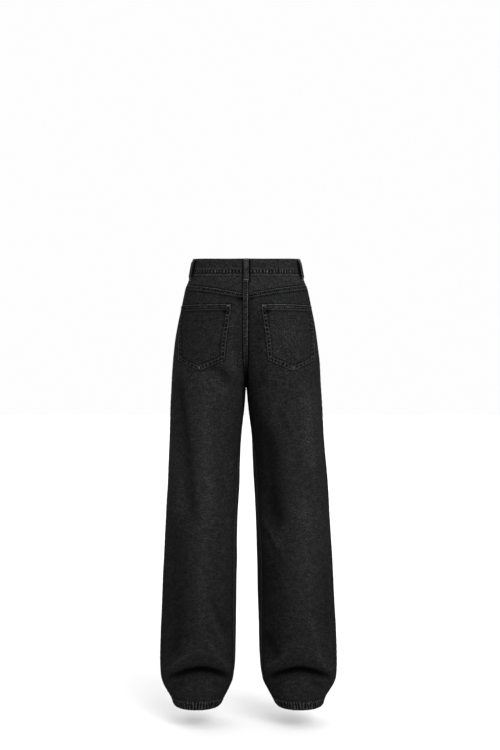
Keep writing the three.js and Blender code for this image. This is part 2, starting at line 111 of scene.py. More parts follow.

# Folds worn into the cloth. half: 1 the wearer's left, -1 the right, 0 both, mirrored.
# face: 1 behind, -1 in front. The crest runs from (x, z) to (x, z), x out from the middle; out is its
# height, or depth if negative, bow how far its middle bends down, and tone how much painted highlight
# it gets, or painted shade if negative, partly the fading that worn folds get.
FOLD_NAMES = ("half", "face", "x0", "z0", "x1", "z1", "wide", "out", "bow", "tone")
FOLDS = np.array([
    # left leg, behind
    (1, 1, 176, -262, 150, -480, 12, -6.0, 0, -0.50),
    (1, 1, 156, -420, 136, -660, 12, -4.0, 0, -0.48),
    (1, 1, 108, -270, 98, -700, 20, 4.0, 0, 0.25),
    (1, 1, 112, -600, 120, -990, 17, 4.0, 0, 0.22),
    (1, 1, 176, -600, 182, -1020, 30, -2.5, 0, -0.42),
    (1, 1, 100, -242, 30, -294, 10, -5.0, 4, -0.62),
    (1, 1, 124, -272, 42, -330, 14, 2.0, 8, 0.22),
    (1, 1, 188, -400, 176, -640, 8, 2.0, 0, 0.15),
    (1, 1, 60, -420, 66, -760, 15, -1.6, 0, -0.08),
    (1, 1, 98, -820, 46, -950, 10, -3.0, 0, -0.30),
    (1, 1, 104, -868, 52, -974, 7, 2.4, 0, 0.18),
    (1, 1, 60, -640, 118, -700, 9, -1.2, 6, -0.06),
    (1, 1, 198, -1000, 172, -920, 11, -2.0, 0, -0.30),
    # right leg, behind
    (-1, 1, 14, -310, 36, -600, 11, -4.0, 0, -0.36),
    (-1, 1, 36, -340, 72, -710, 18, -5.0, 0, -0.54),
    (-1, 1, 16, -420, 42, -900, 16, -1.0, 0, -0.34),
    (-1, 1, 60, -390, 88, -690, 24, -5.0, 0, -0.46),
    (-1, 1, 60, -690, 72, -1010, 27, -3.5, 0, -0.42),
    (-1, 1, 42, -546, 92, -668, 12, -2.2, 3, -0.24),
    (-1, 1, 24, -618, 96, -734, 8, 2.2, 3, 0.26),
    (-1, 1, 26, -646, 92, -760, 9, -1.8, 3, -0.28),
    (-1, 1, 74, -348, 116, -436, 8, -2.4, 3, -0.22),
    (-1, 1, 90, -356, 132, -444, 8, 1.8, 3, 0.14),
    (-1, 1, 152, -262, 162, -570, 15, 4.5, 0, 0.30),
    (-1, 1, 176, -280, 188, -520, 6, 2.0, 0, 0.16),
    (-1, 1, 150, -540, 150, -985, 28, 3.5, 0, 0.26),
    (-1, 1, 120, -640, 176, -760, 12, -1.4, 4, -0.08),
    (-1, 1, 44, -926, 84, -1010, 13, -2.5, 0, -0.55),
    (-1, 1, 158, -880, 184, -1010, 9, 2.5, 0, 0.26),
    (-1, 1, 196, -760, 204, -960, 8, -1.5, 0, -0.20),
    # ridges that run up from the ends of the break behind each ankle
    (1, 1, 224, -1044, 140, -972, 7, 3.5, 0, 0.34),
    (-1, 1, 214, -1046, 164, -966, 7, 3.5, 0, 0.34),
    (1, 1, 40, -1040, 112, -940, 7, 3.5, 0, 0.36),
    (-1, 1, 26, -1040, 104, -974, 7, 3.5, 0, 0.32),
    (0, 1, 176, -1082, 128, -1046, 7, 2.4, -3, 0.18),
    (0, 1, 78, -1086, 122, -1046, 7, 2.0, -3, 0.14),
    (0, 1, 196, -1072, 160, -1052, 7, -2.2, -3, -0.30),
    (0, 1, 62, -1076, 92, -1052, 7, -2.2, -3, -0.30),
    (1, 1, 176, -950, 110, -984, 9, 2.0, 6, 0.14),
    (-1, 1, 92, -950, 166, -984, 9, 2.0, 6, 0.14),
    # seat, behind: pulled towards the crotch from under the pockets
    (-1, 1, 22, -90, 42, -320, 15, -2.5, 0, -0.42),
    (-1, 1, 9, -70, 14, -280, 6, 0.0, 0, -0.32),
    (-1, 1, 90, -20, 104, -240, 42, 0.0, 0, 0.13),
    (1, 1, 26, -130, 16, -262, 9, -2.0, 0, -0.22),
    (0, 1, 42, -196, 22, -290, 8, 1.6, 0, 0.16),
    (1, 1, 150, -246, 60, -286, 10, 1.8, 8, 0.10),
    (-1, 1, 158, -250, 66, -282, 10, 1.8, 8, 0.12),
    (1, 1, 10, -262, 10, -480, 10, 0.0, 0, 0.50),
    # front: whiskers from the crotch to the pockets
    (1, -1, 12, -268, 92, -196, 7, -3.0, 4, -0.22),
    (-1, -1, 12, -262, 98, -200, 7, -2.8, 4, -0.20),
    (1, -1, 16, -288, 128, -228, 8, 2.8, 6, 0.30),
    (-1, -1, 16, -284, 120, -236, 8, 3.0, 6, 0.30),
    (1, -1, 20, -306, 140, -262, 8, -3.0, 6, -0.24),
    (-1, -1, 20, -302, 146, -270, 8, -2.8, 6, -0.22),
    (1, -1, 24, -330, 130, -304, 10, 2.2, 6, 0.20),
    (-1, -1, 24, -326, 124, -300, 10, 2.4, 6, 0.20),
    # front: long folds down each leg and slack at the knee
    (1, -1, 120, -340, 126, -940, 24, 4.0, 0, 0.28),
    (-1, -1, 114, -350, 122, -960, 24, 3.8, 0, 0.28),
    (1, -1, 56, -330, 70, -860, 20, -4.0, 0, -0.40),
    (-1, -1, 60, -320, 64, -840, 20, -3.8, 0, -0.36),
    (1, -1, 170, -400, 178, -900, 15, -3.2, 0, -0.30),
    (-1, -1, 166, -380, 176, -880, 15, -3.4, 0, -0.30),
    (1, -1, 52, -628, 118, -690, 8, -2.8, 5, -0.20),
    (-1, -1, 56, -646, 118, -702, 8, -2.8, 5, -0.20),
    (1, -1, 188, -690, 128, -738, 10, -2.4, 5, -0.14),
    (-1, -1, 184, -680, 130, -726, 10, -2.4, 5, -0.14),
    (0, -1, 198, -1040, 146, -1014, 8, 3.0, -4, 0.20),
    (0, -1, 60, -1046, 112, -1016, 8, 3.0, -4, 0.20),
])

# The seat is drawn in along the centre seam, more towards the crotch, and painted shade darkens a line
# there, wider on the left half.
CLEFT_DEPTH, CLEFT_WIDE, CLEFT_FROM, CLEFT_TO = 10.0, 14.0, -120.0, -285.0
CLEFT_TONE, CLEFT_LINE = -5.0, {1: 4.4, -1: 4.0}

# Painted shade where the cloth turns away to the side, and the cloth darker from above the knee down.
SIDE_TONE, SIDE_TONE_FROM = -0.45, BAND_BOTTOM - 30
SHIN_TONE, SHIN_TONE_FROM, SHIN_TONE_OVER = -0.26, -600.0, 300.0

# Slack of hanging cloth: the height and size of each wave.
SLACK = ((1.1, 62), (0.55, 27), (0.22, 11))

# ---------------------------------------------------------------- the cloth's surface


def smooth(x):
    """Smoothstep of x clipped to 0..1: three times its square less twice its cube."""
    x = np.clip(x, 0, 1)
    return x * x * (3 - 2 * x)


def bell(x):
    """One over e to the square of x."""
    return np.exp(-np.square(x))


def as_grids(*values):
    """Numbers and arrays of numbers, all made the same shape."""
    return np.broadcast_arrays(*(np.asarray(value, float) for value in values))


def section(name, z):
    """A column of SECTIONS at heights z: a cubic between rows whose tangent at a row is the harmonic
    mean of the slopes on both sides, and flat where they disagree, so that it never overshoots."""
    heights, values = SECTIONS[:, 0], SECTIONS[:, SECTION_NAMES.index(name)]
    slopes = np.diff(values) / np.diff(heights)
    agree = slopes[:-1] * slopes[1:]
    total = np.where(agree > 0, slopes[:-1] + slopes[1:], 1)
    tangents = np.concatenate(([slopes[0]], np.where(agree > 0, 2 * agree / total, 0), [slopes[-1]]))
    z = np.clip(z, heights[0], heights[-1])
    i = np.clip(np.searchsorted(heights, z, side="right") - 1, 0, len(heights) - 2)
    h = heights[i + 1] - heights[i]
    t = (z - heights[i]) / h
    s = 1 - t
    return (values[i] * s * s * (1 + 2 * t) + values[i + 1] * t * t * (3 - 2 * t)
            + h * (tangents[i] * t * s * s - tangents[i + 1] * t * t * s))


def ring_shape(z, angle):
    """A point of the left half: superellipse arcs through the ring's outer, back, front and inner
    points. The angle is 0 at the side, 90 behind, -90 in front, 180 at the centre seam or inseam. The
    waist rises at the sides and drops in front, and the hem rises in front, with squares of the way."""
    z, angle = as_grids(z, angle)
    centre, square = section("centre", z), section("square", z)
    back, front = section("back", z), section("front", z)
    across = np.abs(np.cos(np.radians(angle))) ** (2 / square)
    outside = np.abs(angle) <= 90
    x = centre + across * np.where(outside, section("outer", z) - centre, section("inner", z) - centre)
    spent = across ** square * np.where(outside, 1, 1 - np.clip(section("keep", z), 0, 1) ** square)
    y = (back + front) / 2 + np.sign(angle) * (back - front) / 2 * np.clip(1 - spent, 0, 1) ** (1 / square)
    high = smooth((z - WAIST_RISE_FROM) / (BAND_TOP - WAIST_RISE_FROM))
    trunk = smooth((z - CROTCH_Z) / (BAND_TOP - CROTCH_Z))
    ankle = smooth((z - INSTEP_START_Z) / (HEM_Z - INSTEP_START_Z))
    lift = WAIST_SIDE_RISE * high * (1 - np.clip(y / WAIST_REACH, 0, 1) ** 2)
    lift = lift - WAIST_FRONT_DROP * trunk * np.clip(-y / WAIST_REACH, 0, 1) ** 2
    lift = lift + INSTEP_RISE * ankle * np.clip((INSTEP_START_Y - y) / INSTEP_REACH, 0, 1) ** 2
    return np.stack([x, y, z + lift], -1)


def unit(v):
    """Vectors over their length."""
    return v / np.maximum(np.linalg.norm(v, axis=-1, keepdims=True), 1e-9)


def ring_normal(z, angle):
    """The surface's outward direction: the step round the ring crossed with the step up."""
    low, high = np.clip(angle - 0.4, -180, 180), np.clip(angle + 0.4, -180, 180)
    along = ring_shape(z, high) - ring_shape(z, low)
    up = ring_shape(z + 0.5, angle) - ring_shape(z - 0.5, angle)
    return unit(np.cross(along, up))


# Tables between an angle and the arc length from the centre back (or inseam) round to the front.
LEVELS = np.linspace(HEM_Z, BAND_TOP, 480)
ANGLES = np.linspace(180, -180, 361)
SHARES = np.linspace(0, 1, len(ANGLES))
STEPS = np.linalg.norm(np.diff(ring_shape(LEVELS[:, None], ANGLES[None, :]), axis=1), axis=-1)
ARCS = np.concatenate((np.zeros((len(LEVELS), 1)), np.cumsum(STEPS, axis=1)), axis=1)
ANGLE_TABLE = np.stack([np.interp(SHARES * arc[-1], arc, ANGLES) for arc in ARCS])


def read_table(table, row, column):
    """A table's value at fractional row and column, linear both ways."""
    i = np.clip(row.astype(int), 0, table.shape[0] - 2)
    j = np.clip(column.astype(int), 0, table.shape[1] - 2)
    a, b = row - i, column - j
    top = table[i, j] * (1 - b) + table[i, j + 1] * b
    return top * (1 - a) + (table[i + 1, j] * (1 - b) + table[i + 1, j + 1] * b) * a


def level(z):
    """Fractional row of LEVELS at height z."""
    return (np.clip(z, HEM_Z, BAND_TOP) - HEM_Z) / (BAND_TOP - HEM_Z) * (len(LEVELS) - 1)


def around(z):
    """The ring's whole length."""
    return np.interp(z, LEVELS, ARCS[:, -1])


def arc_at(z, angle):
    """Arc length from the centre back or inseam to an angle."""
    z, angle = as_grids(z, angle)
    return read_table(ARCS, level(z), (180 - angle) / 360 * (len(ANGLES) - 1))


def angle_at(z, arc):
    """The angle at an arc length, which may run once round past the inseam."""
    z, arc = as_grids(z, arc)
    share = arc / around(z)
    return read_table(ANGLE_TABLE, level(z), np.where(share > 1, share - 1, share) * (len(SHARES) - 1))


def side_arc(z):
    """Arc length to the side seam."""
    return arc_at(z, section("side", z))


def inseam_arc(z):
    """Arc length from the innermost point to the centre seam or inseam."""
    return arc_at(z, 180 - section("inseam", z))


# ---------------------------------------------------------------- folds and breaks


def lattice_noise(p, pitch, seed):
    """Smooth noise from -1 to 1: values hashed at the corners of cubes `pitch` wide, blended by
    smoothstep along each axis."""
    q = np.asarray(p, float) / pitch + 17.3 * seed
    cell = np.floor(q)
    f = smooth(q - cell)

    def corner(dx, dy, dz):
        hashed = np.sin((cell + (dx, dy, dz)) @ (12.9898, 78.233, 37.719) + seed) * 43758.5453
        return np.modf(np.abs(hashed))[0] * 2 - 1

    def edge(x, y):
        return corner(x, y, 0) * (1 - f[..., 2]) + corner(x, y, 1) * f[..., 2]

    rows = [[edge(x, y) for y in (0, 1)] for x in (0, 1)]
    ends = [row[0] * (1 - f[..., 1]) + row[1] * f[..., 1] for row in rows]
    return ends[0] * (1 - f[..., 0]) + ends[1] * f[..., 0]


def break_moves(half, z, angle):
    """How far the breaks push the cloth out and up, and their tone: painted shade in the trough and,
    fainter, along the lip. Across a break the cloth goes in by a bell about its line and out by a wider
    bell above it, and that lip is let down over the line. The line is a rounded V: it drops by the root
    of the square of the way along it."""
    out, up, tone = np.zeros_like(z), np.zeros_like(z), np.zeros_like(z)
    for b in BREAKS:
        along = (angle - b["at"] - b["turn"] * (half > 0)) / b["reach"]
        near = np.clip(1 - along ** 2, 0, 1)
        fade = near ** 1.5
        above = z - b["z"] + b["sag"] * (np.sqrt(along ** 2 + 0.05) - 0.22)
        out -= b["depth"] * fade * bell(above / np.where(above > 0, b["above"], b["below"]))
        out += b["lip"] * fade * bell((above - b["rise"]) / b["wide"])
        up -= b["hang"] * fade ** 2 * bell((above - 6) / 8)
        trough = bell((above + 1) / np.where(above > -1, 5 + 2 * near, 6 + 4 * near))
        tone -= b["shade"] * near ** 1.2 * trough
        tone -= 0.16 * near * bell((above - b["rise"]) / 12)
    return out, up, tone


def fold_moves(half, point, facing):
    """The worn folds' height and tone: each a bell across a bent line, fading at both ends, seen from
    behind or in front. The tone is painted shade in a fold's trough and painted highlight on its
    crest, partly the fading that real folds get. facing is how squarely the cloth faces that way."""
    x, y, z = np.moveaxis(point, -1, 0)
    out, tone = np.zeros(x.shape), np.zeros(x.shape)
    for row in FOLDS:
        fold = dict(zip(FOLD_NAMES, row))
        if fold["half"] and fold["half"] != half:
            continue
        run, drop = fold["x1"] - fold["x0"], fold["z1"] - fold["z0"]
        length = math.hypot(run, drop)
        t = ((x - fold["x0"]) * run + (z - fold["z0"]) * drop) / length ** 2
        off = ((x - fold["x0"]) * drop - (z - fold["z0"]) * run) / length
        off = off - np.copysign(fold["bow"], drop * run) * (1 - np.square(2 * t - 1)) * (abs(run) / length)
        ends = smooth(t / 0.25) * smooth((1 - t) / 0.25)
        here = bell(off / fold["wide"]) * ends * smooth(facing * fold["face"] * 1.6)
        out += fold["out"] * here
        tone += fold["tone"] * here
    # Painted shade along the seat's cleft.
    low = np.clip((CLEFT_FROM - z) / (CLEFT_FROM - CLEFT_TO), 0, 1)
    cleft = low ** 5 * bell((x - 0.5) / CLEFT_LINE[half]) * (y > 0)
    # Painted shade where the cloth turns to the side, and darker from above the knee down.
    aside = np.clip(1 - np.abs(facing), 0, 1) ** 2 * (z < SIDE_TONE_FROM)
    tone = tone + SIDE_TONE * aside + SHIN_TONE * smooth((SHIN_TONE_FROM - z) / SHIN_TONE_OVER)
    return out, tone + CLEFT_TONE * cleft


def cleft_moves(point):
    """How far forward the seat is drawn at the centre seam: a bell across it, growing downwards and
    gone again where the legs part."""
    x, y, z = np.moveaxis(point, -1, 0)
    grows = smooth((CLEFT_FROM - z) / (CLEFT_FROM - CLEFT_TO)) * smooth((z - CROTCH_Z) / 20)
    return -CLEFT_DEPTH * grows * bell(x / CLEFT_WIDE) * (y > 40)


def tone_at(half, z, arc):
    """Painted highlight, above 0, and painted shade, below 0, from the folds and breaks, partly the
    fading real folds get, with the painted shade of the seat's cleft and the turned-away sides and
    the darker lower legs.
    """
    z, arc = as_grids(z, arc)
    angle = angle_at(z, arc)
    point, normal = ring_shape(z, angle), ring_normal(z, angle)
    return fold_moves(half, point, normal[..., 1])[1] + break_moves(half, z, angle)[2]


def slack(half, point):
    """Small uneven waves that all hanging denim has: noise of three sizes, drawn out upwards."""
    seed = 3 if half > 0 else 8
    stretched = point * (1.0, 1.0, 0.55)
    return sum(height * lattice_noise(stretched, size, seed + k) for k, (height, size) in enumerate(SLACK))


def pucker(along, away, pitch, reach, height, seed=0.0):
    """Gathers beside a seam: waves along it, uneven in size, dying away from it by a bell."""
    swell = 0.65 + 0.35 * np.sin(along / pitch * 0.83 + 1.7 * seed) * np.sin(along / pitch * 0.31 + seed)
    wander = 0.9 * np.sin(along / pitch * 0.47 + 2.1 * seed)
    return height * swell * np.sin(2 * math.pi * along / pitch + wander) * bell(away / reach)


def fuller(half, z):
    """How much fuller the right leg is, as a share of its width: smooth at both ends."""
    grows = smooth((z - FULLER_FROM) / (FULLER_TO - FULLER_FROM))
    ends = smooth((z - FULLER_ENDS) / (FULLER_BACK - FULLER_ENDS))
    return FULLER_SHARE * grows * ends * (half < 0)


def spots(half, z, arc, out=0.0, folds=True):
    """Points and outward directions of one half's cloth, moved out by `out`, mirrored for the right
    half and set over by the drift of the legs."""
    z, arc, out = as_grids(z, arc, out)
    angle = angle_at(z, arc)
    point, normal = ring_shape(z, angle), ring_normal(z, angle)
    if folds:
        push, up, _ = break_moves(half, z, angle)
        worn = fold_moves(half, point, normal[..., 1])[0] + slack(half, point)
        calm = smooth((BAND_BOTTOM - 4 - z) / 60)
        drawn = cleft_moves(point)
        point = point + normal * (push + worn * calm)[..., None]
        point = point + up[..., None] * (0, 0, 1) + drawn[..., None] * (0, 1, 0)
    point = point + normal * out[..., None]
    drift = LEG_DRIFT * np.clip((z - CROTCH_Z) / (HEM_Z - CROTCH_Z), 0, 1)
    wide = (point[..., 0] - section("centre", z)) * fuller(half, z)
    point = (point + wide[..., None] * (1, 0, 0)) * (half, 1, 1) + drift[..., None] * (1, 0, 0)
    return point, normal * (half, 1, 1)


def trunk_spots(z, share, out=0.0):
    """Points round the trunk: share is 0 at the centre back and 1 at the centre front, negative on
    the right half, and past 1 it goes on over the centre front."""
    z, share, out = as_grids(z, share, out)
    folded = np.where(np.abs(share) > 1, -np.sign(share) * (2 - np.abs(share)), share)
    arc = np.abs(folded) * around(z)
    left_points, left_normals = spots(1, z, arc, out)
    right_points, right_normals = spots(-1, z, arc, out)
    is_left = (folded >= 0)[..., None]
    return np.where(is_left, left_points, right_points), np.where(is_left, left_normals, right_normals)


# ---------------------------------------------------------------- meshes

# No seam's finish reaches this far. The finish draws each seam 10 wide.
FAR, SEAM_DRAWN = 30.0, 10.0


def quads(rows, columns, closed=False, flip=False):
    """Corner numbers of the quads of a grid of points, row by row. Closed, each row's ends meet."""
    i = np.arange(rows - 1)[:, None]
    j = np.arange(columns if closed else columns - 1)[None, :]
    here, below, right = i * columns, (i + 1) * columns, (j + 1) % columns
    corners = np.broadcast_arrays(here + j, here + right, below + right, below + j)
    faces = np.stack(corners, -1).reshape(-1, 4)
    return faces[:, ::-1] if flip else faces


def capped(rows, columns, flip=False):
    """Faces of a closed profile carried along a path, with flat ends."""
    first, last = list(range(columns)), list(range((rows - 1) * columns, rows * columns))
    ends = [first, last[::-1]] if flip else [first[::-1], last]
    return quads(rows, columns, closed=True, flip=flip).tolist() + ends


def cloth_layers(flat, wear=0.0, seam=(0.0, FAR, 0.0), beside=FAR, roped=0.0):
    """What the denim finish reads at each point: a flat map in metres; wear, from -1 darkest to 1
    palest, which is the cloth's real fading and kept dye together with painted shade and painted
    highlight; the nearest stitched seam as (gathers counted along it, tenths of its width in from its
    edge, strength); millimetres outside of something sewn on, where a painted contact shadow falls;
    and how strongly the cloth is roped all across the seam."""
    wear, turns, away, strength, beside, roped = (
        np.broadcast_to(np.asarray(value, float), flat.shape[:-1]) for value in (wear, *seam, beside, roped))
    return dict(maps=dict(flat=flat * MM, seam=np.stack([turns, np.clip(away, -FAR, FAR)], -1)),
                values=dict(wear=np.clip(wear, -4.0, 1.5), gathered=strength,
                            beside=np.clip(beside, 0, FAR), roped=roped))


def nearest_seam(*seams):
    """Of several seams, each (along, away, pitch, width, strength), the nearest at each point, with
    its gathers counted and its width as the finish draws it."""
    values = np.broadcast_arrays(*(value for seam in seams for value in seam))
    along, away, pitch, width, strength = (np.stack(values[k::5]) for k in range(5))
    away = away / width * SEAM_DRAWN
    pick = np.argmin(np.abs(away), axis=0)[None]
    return tuple(np.take_along_axis(value, pick, 0)[0] for value in (along / pitch, away, strength * 1.0))


def make_piece(name, points, faces, materials, layers=None):
    """A mesh from points in millimetres and lists of corners, riding on the part's one body."""
    mesh = bpy.data.meshes.new(name)
    points = np.asarray(points, float).reshape(-1, 3)
    mesh.from_pydata((points * MM).tolist(), [], faces if isinstance(faces, list) else faces.tolist())
    mesh.polygons.foreach_set("use_smooth", np.ones(len(mesh.polygons), bool))
    for material in materials:
        mesh.materials.append(material)
    if layers:
        corners = np.empty(len(mesh.loops), int)
        mesh.loops.foreach_get("vertex_index", corners)
        for key, value in layers["maps"].items():
            mesh.uv_layers.new(name=key).data.foreach_set("uv", value.reshape(-1, 2)[corners].ravel())
        for key, value in layers["values"].items():
            mesh.attributes.new(key, "FLOAT", "POINT").data.foreach_set("value", value.ravel())
    mesh.update()
    piece = bpy.data.objects.new(name, mesh)
    bpy.context.scene.collection.objects.link(piece)
    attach(piece, "root")
    return piece


def thicken(piece, thick=CLOTH):
    """A wall of cloth inwards from the piece's face. Its last material is its inner side's."""
    wall = piece.modifiers.new("cloth", "SOLIDIFY")
    wall.thickness = thick * MM
    wall.offset = -1
    wall.material_offset = len(piece.data.materials) - 1
    wall.material_offset_rim = 0


def cloth_piece(name, node, points, layers, materials, flip=False, thick=CLOTH):
    """A sheet of denim from a grid of points, thickened inwards."""
    rows, columns = points.shape[:2]
    piece = make_piece(name, points, quads(rows, columns, flip=flip), materials, layers)
    thicken(piece, thick)
    if node:
        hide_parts(node)
    return piece


def panel_piece(node, half, z, arc, out, materials, slot="denim", thick=CLOTH, turned=False, **finish):
    """A piece that is part of the surface: heights z and arc lengths on a grid, moved out by `out`.
    Its flat map has the same two lengths. turned is for columns that run towards the centre back."""
    z, arc = np.broadcast_arrays(z, arc)
    points, plain = spots(half, z, arc, out)[0], spots(half, z, arc, folds=False)[0]
    layers = cloth_layers(np.stack([arc, z], -1), **finish)
    flip = (half < 0) != turned
    return cloth_piece(f"{node}_cloth", node, points, layers, materials, flip, thick)


# How high a thread's middle line runs over the cloth, and its thickness, from end to end of a stitch.
THREAD_LIFT = np.array([-0.42, 0.1, 0.24, 0.1, -0.42])
THREAD_GIRTH = np.array([0.55, 1.0, 1.0, 1.0, 0.55])
THREAD_SIDES = 6


def thread_piece(name, starts, ends, outs, material, slot, radius=0.3):
    """Stitches: each a six-sided thread from start to end that arches over the cloth and dips into
    it at both ends."""
    t = np.linspace(0, 1, len(THREAD_LIFT))
    tangent = unit(ends - starts)
    out = unit(outs - tangent * np.sum(outs * tangent, -1, keepdims=True))
    side = np.cross(out, tangent)
    middle = starts[:, None] + (ends - starts)[:, None] * t[None, :, None]
    middle = middle + out[:, None] * THREAD_LIFT[:, None]
    turn = np.arange(THREAD_SIDES) * 2 * math.pi / THREAD_SIDES
    ring = side[:, None, None] * np.cos(turn)[:, None] + out[:, None, None] * np.sin(turn)[:, None]
    points = middle[:, :, None] + ring * (radius * THREAD_GIRTH)[:, None, None]
    one = quads(len(t), THREAD_SIDES, closed=True)
    size = len(t) * THREAD_SIDES
    base = (np.arange(len(starts)) * size)[:, None]
    around_end = np.arange(THREAD_SIDES)[None]
    faces = (one[None] + base[:, :, None]).reshape(-1, 4).tolist()
    faces += (base + around_end[:, ::-1]).tolist() + (base + size - THREAD_SIDES + around_end).tolist()
    return make_piece(name, points, faces, [material])


def stitch_rows(rows, stitch=3.0, gap=0.5):
    """Starts, ends and outward directions of evenly spaced stitches along paths, each a pair of
    points and outward directions."""
    starts, ends, outs = [], [], []
    for points, normals in rows:
        along = np.concatenate(([0], np.cumsum(np.linalg.norm(np.diff(points, axis=0), axis=-1))))
        count = max(1, int(along[-1] / (stitch + gap)))
        pitch = along[-1] / count
        first = np.arange(count) * pitch + gap / 2
        for target, places, values in ((starts, first, points), (ends, first + pitch - gap, points),
                                       (outs, first + pitch / 2, normals)):
            target.append(np.stack([np.interp(places, along, values[:, k]) for k in range(3)], -1))
    return np.concatenate(starts), np.concatenate(ends), np.concatenate(outs)


def bar_tack(centre, along, out, length, width=2.0, pitch=0.55, lean=0.25):
    """A bar tack: close threads across a short bar, leaning by turns."""
    count = max(2, int(length / pitch))
    places = (np.arange(count) / (count - 1) - 0.5) * length
    across = np.cross(out, along)
    leans = np.where(np.arange(count) % 2, lean, -lean)[:, None]
    middle = centre + places[:, None] * along + 0.25 * out
    starts = middle - across * width / 2 + leans * along
    ends = middle + across * width / 2 - leans * along
    return starts, ends, np.broadcast_to(out, starts.shape)


# ---------------------------------------------------------------- materials


class Value:
    """A number or place that a node gives. Its sums, differences and so on are Math nodes."""

    def __init__(self, nodes, socket):
        self.nodes = nodes
        self.socket = socket

    def __add__(self, other):
        return self.nodes.math("ADD", self, other)

    def __sub__(self, other):
        return self.nodes.math("SUBTRACT", self, other)

    def __mul__(self, other):
        return self.nodes.math("MULTIPLY", self, other)

    def __truediv__(self, other):
        return self.nodes.math("DIVIDE", self, other)


class Nodes:
    """A material's node tree with short ways to add and join nodes."""

    def __init__(self, name):
        self.material = bpy.data.materials.new(name)
        self.material.use_nodes = True
        self.tree = self.material.node_tree
        self.tree.nodes.clear()

    def feed(self, socket, value):
        """Joins a value to a socket, or sets the socket to a constant."""
        if isinstance(value, Value):
            self.tree.links.new(value.socket, socket)
        else:
            socket.default_value = value

    def add(self, kind, settings=None, **inputs):
        """A node with its settings, and inputs by name or as i and a number."""
        node = self.tree.nodes.new(kind)
        for key, value in (settings or {}).items():
            setattr(node, key, value)
        for key, value in inputs.items():
            by_number = key[0] == "i" and key[1:].isdigit()
            self.feed(node.inputs[int(key[1:]) if by_number else key.replace("_", " ")], value)
        return node

    def out(self, kind, settings=None, output=0, **inputs):
        """A new node's output."""
        return Value(self, self.add(kind, settings, **inputs).outputs[output])

    def math(self, operation, a, b=0.0, clamp=False):
        """What a Math node makes of two numbers."""
        return self.out("ShaderNodeMath", dict(operation=operation, use_clamp=clamp), i0=a, i1=b)

    def noise(self, place, fineness, detail, roughness):
        """Noise so many times finer than one metre, or each way so many times if three are given."""
        if isinstance(fineness, tuple):
            place = self.out("ShaderNodeVectorMath", dict(operation="MULTIPLY"), i0=place, i1=fineness)
            fineness = 1.0
        settings = dict(Scale=fineness, Detail=detail, Roughness=roughness)
        return self.out("ShaderNodeTexNoise", Vector=place, **settings)

    def parts(self, place):
        """The first two numbers of a place."""
        split = self.add("ShaderNodeSeparateXYZ", i0=place)
        return Value(self, split.outputs[0]), Value(self, split.outputs[1])

    def ramp(self, value, low, high):
        """Smoothstep of the way from low to high."""
        smoothstep = dict(interpolation_type="SMOOTHSTEP")
        return self.out("ShaderNodeMapRange", smoothstep, i0=value, i1=low, i2=high)

    def bell(self, value, middle, wide):
        """One over e to the square of the way from the middle."""
        off = (value - middle) / wide
        return self.math("EXPONENT", off * off * -1.0)

    def blend(self, share, a, b):
        """Colour a, or b where share is 1."""
        node = self.add("ShaderNodeMix", dict(data_type="RGBA", clamp_result=True), i0=share, i6=a, i7=b)
        return Value(self, node.outputs[2])

    def surface(self, colour, rough, bump=None, **constants):
        """Ends the material with its shader. bump is (height, strength, distance), and the constants
        go on the shader's own sockets."""
        shader = self.add("ShaderNodeBsdfPrincipled", Base_Color=colour, Roughness=rough, **constants)
        if bump:
            height, strength, distance = bump
            normal = self.out("ShaderNodeBump", Height=height, Strength=strength, Distance=distance)
            self.feed(shader.inputs["Normal"], normal)
        self.add("ShaderNodeOutputMaterial", Surface=Value(self, shader.outputs[0]))
        return self.material


def grey(value):
    """A neutral colour as RGBA."""
    return (value, value, value, 1.0)


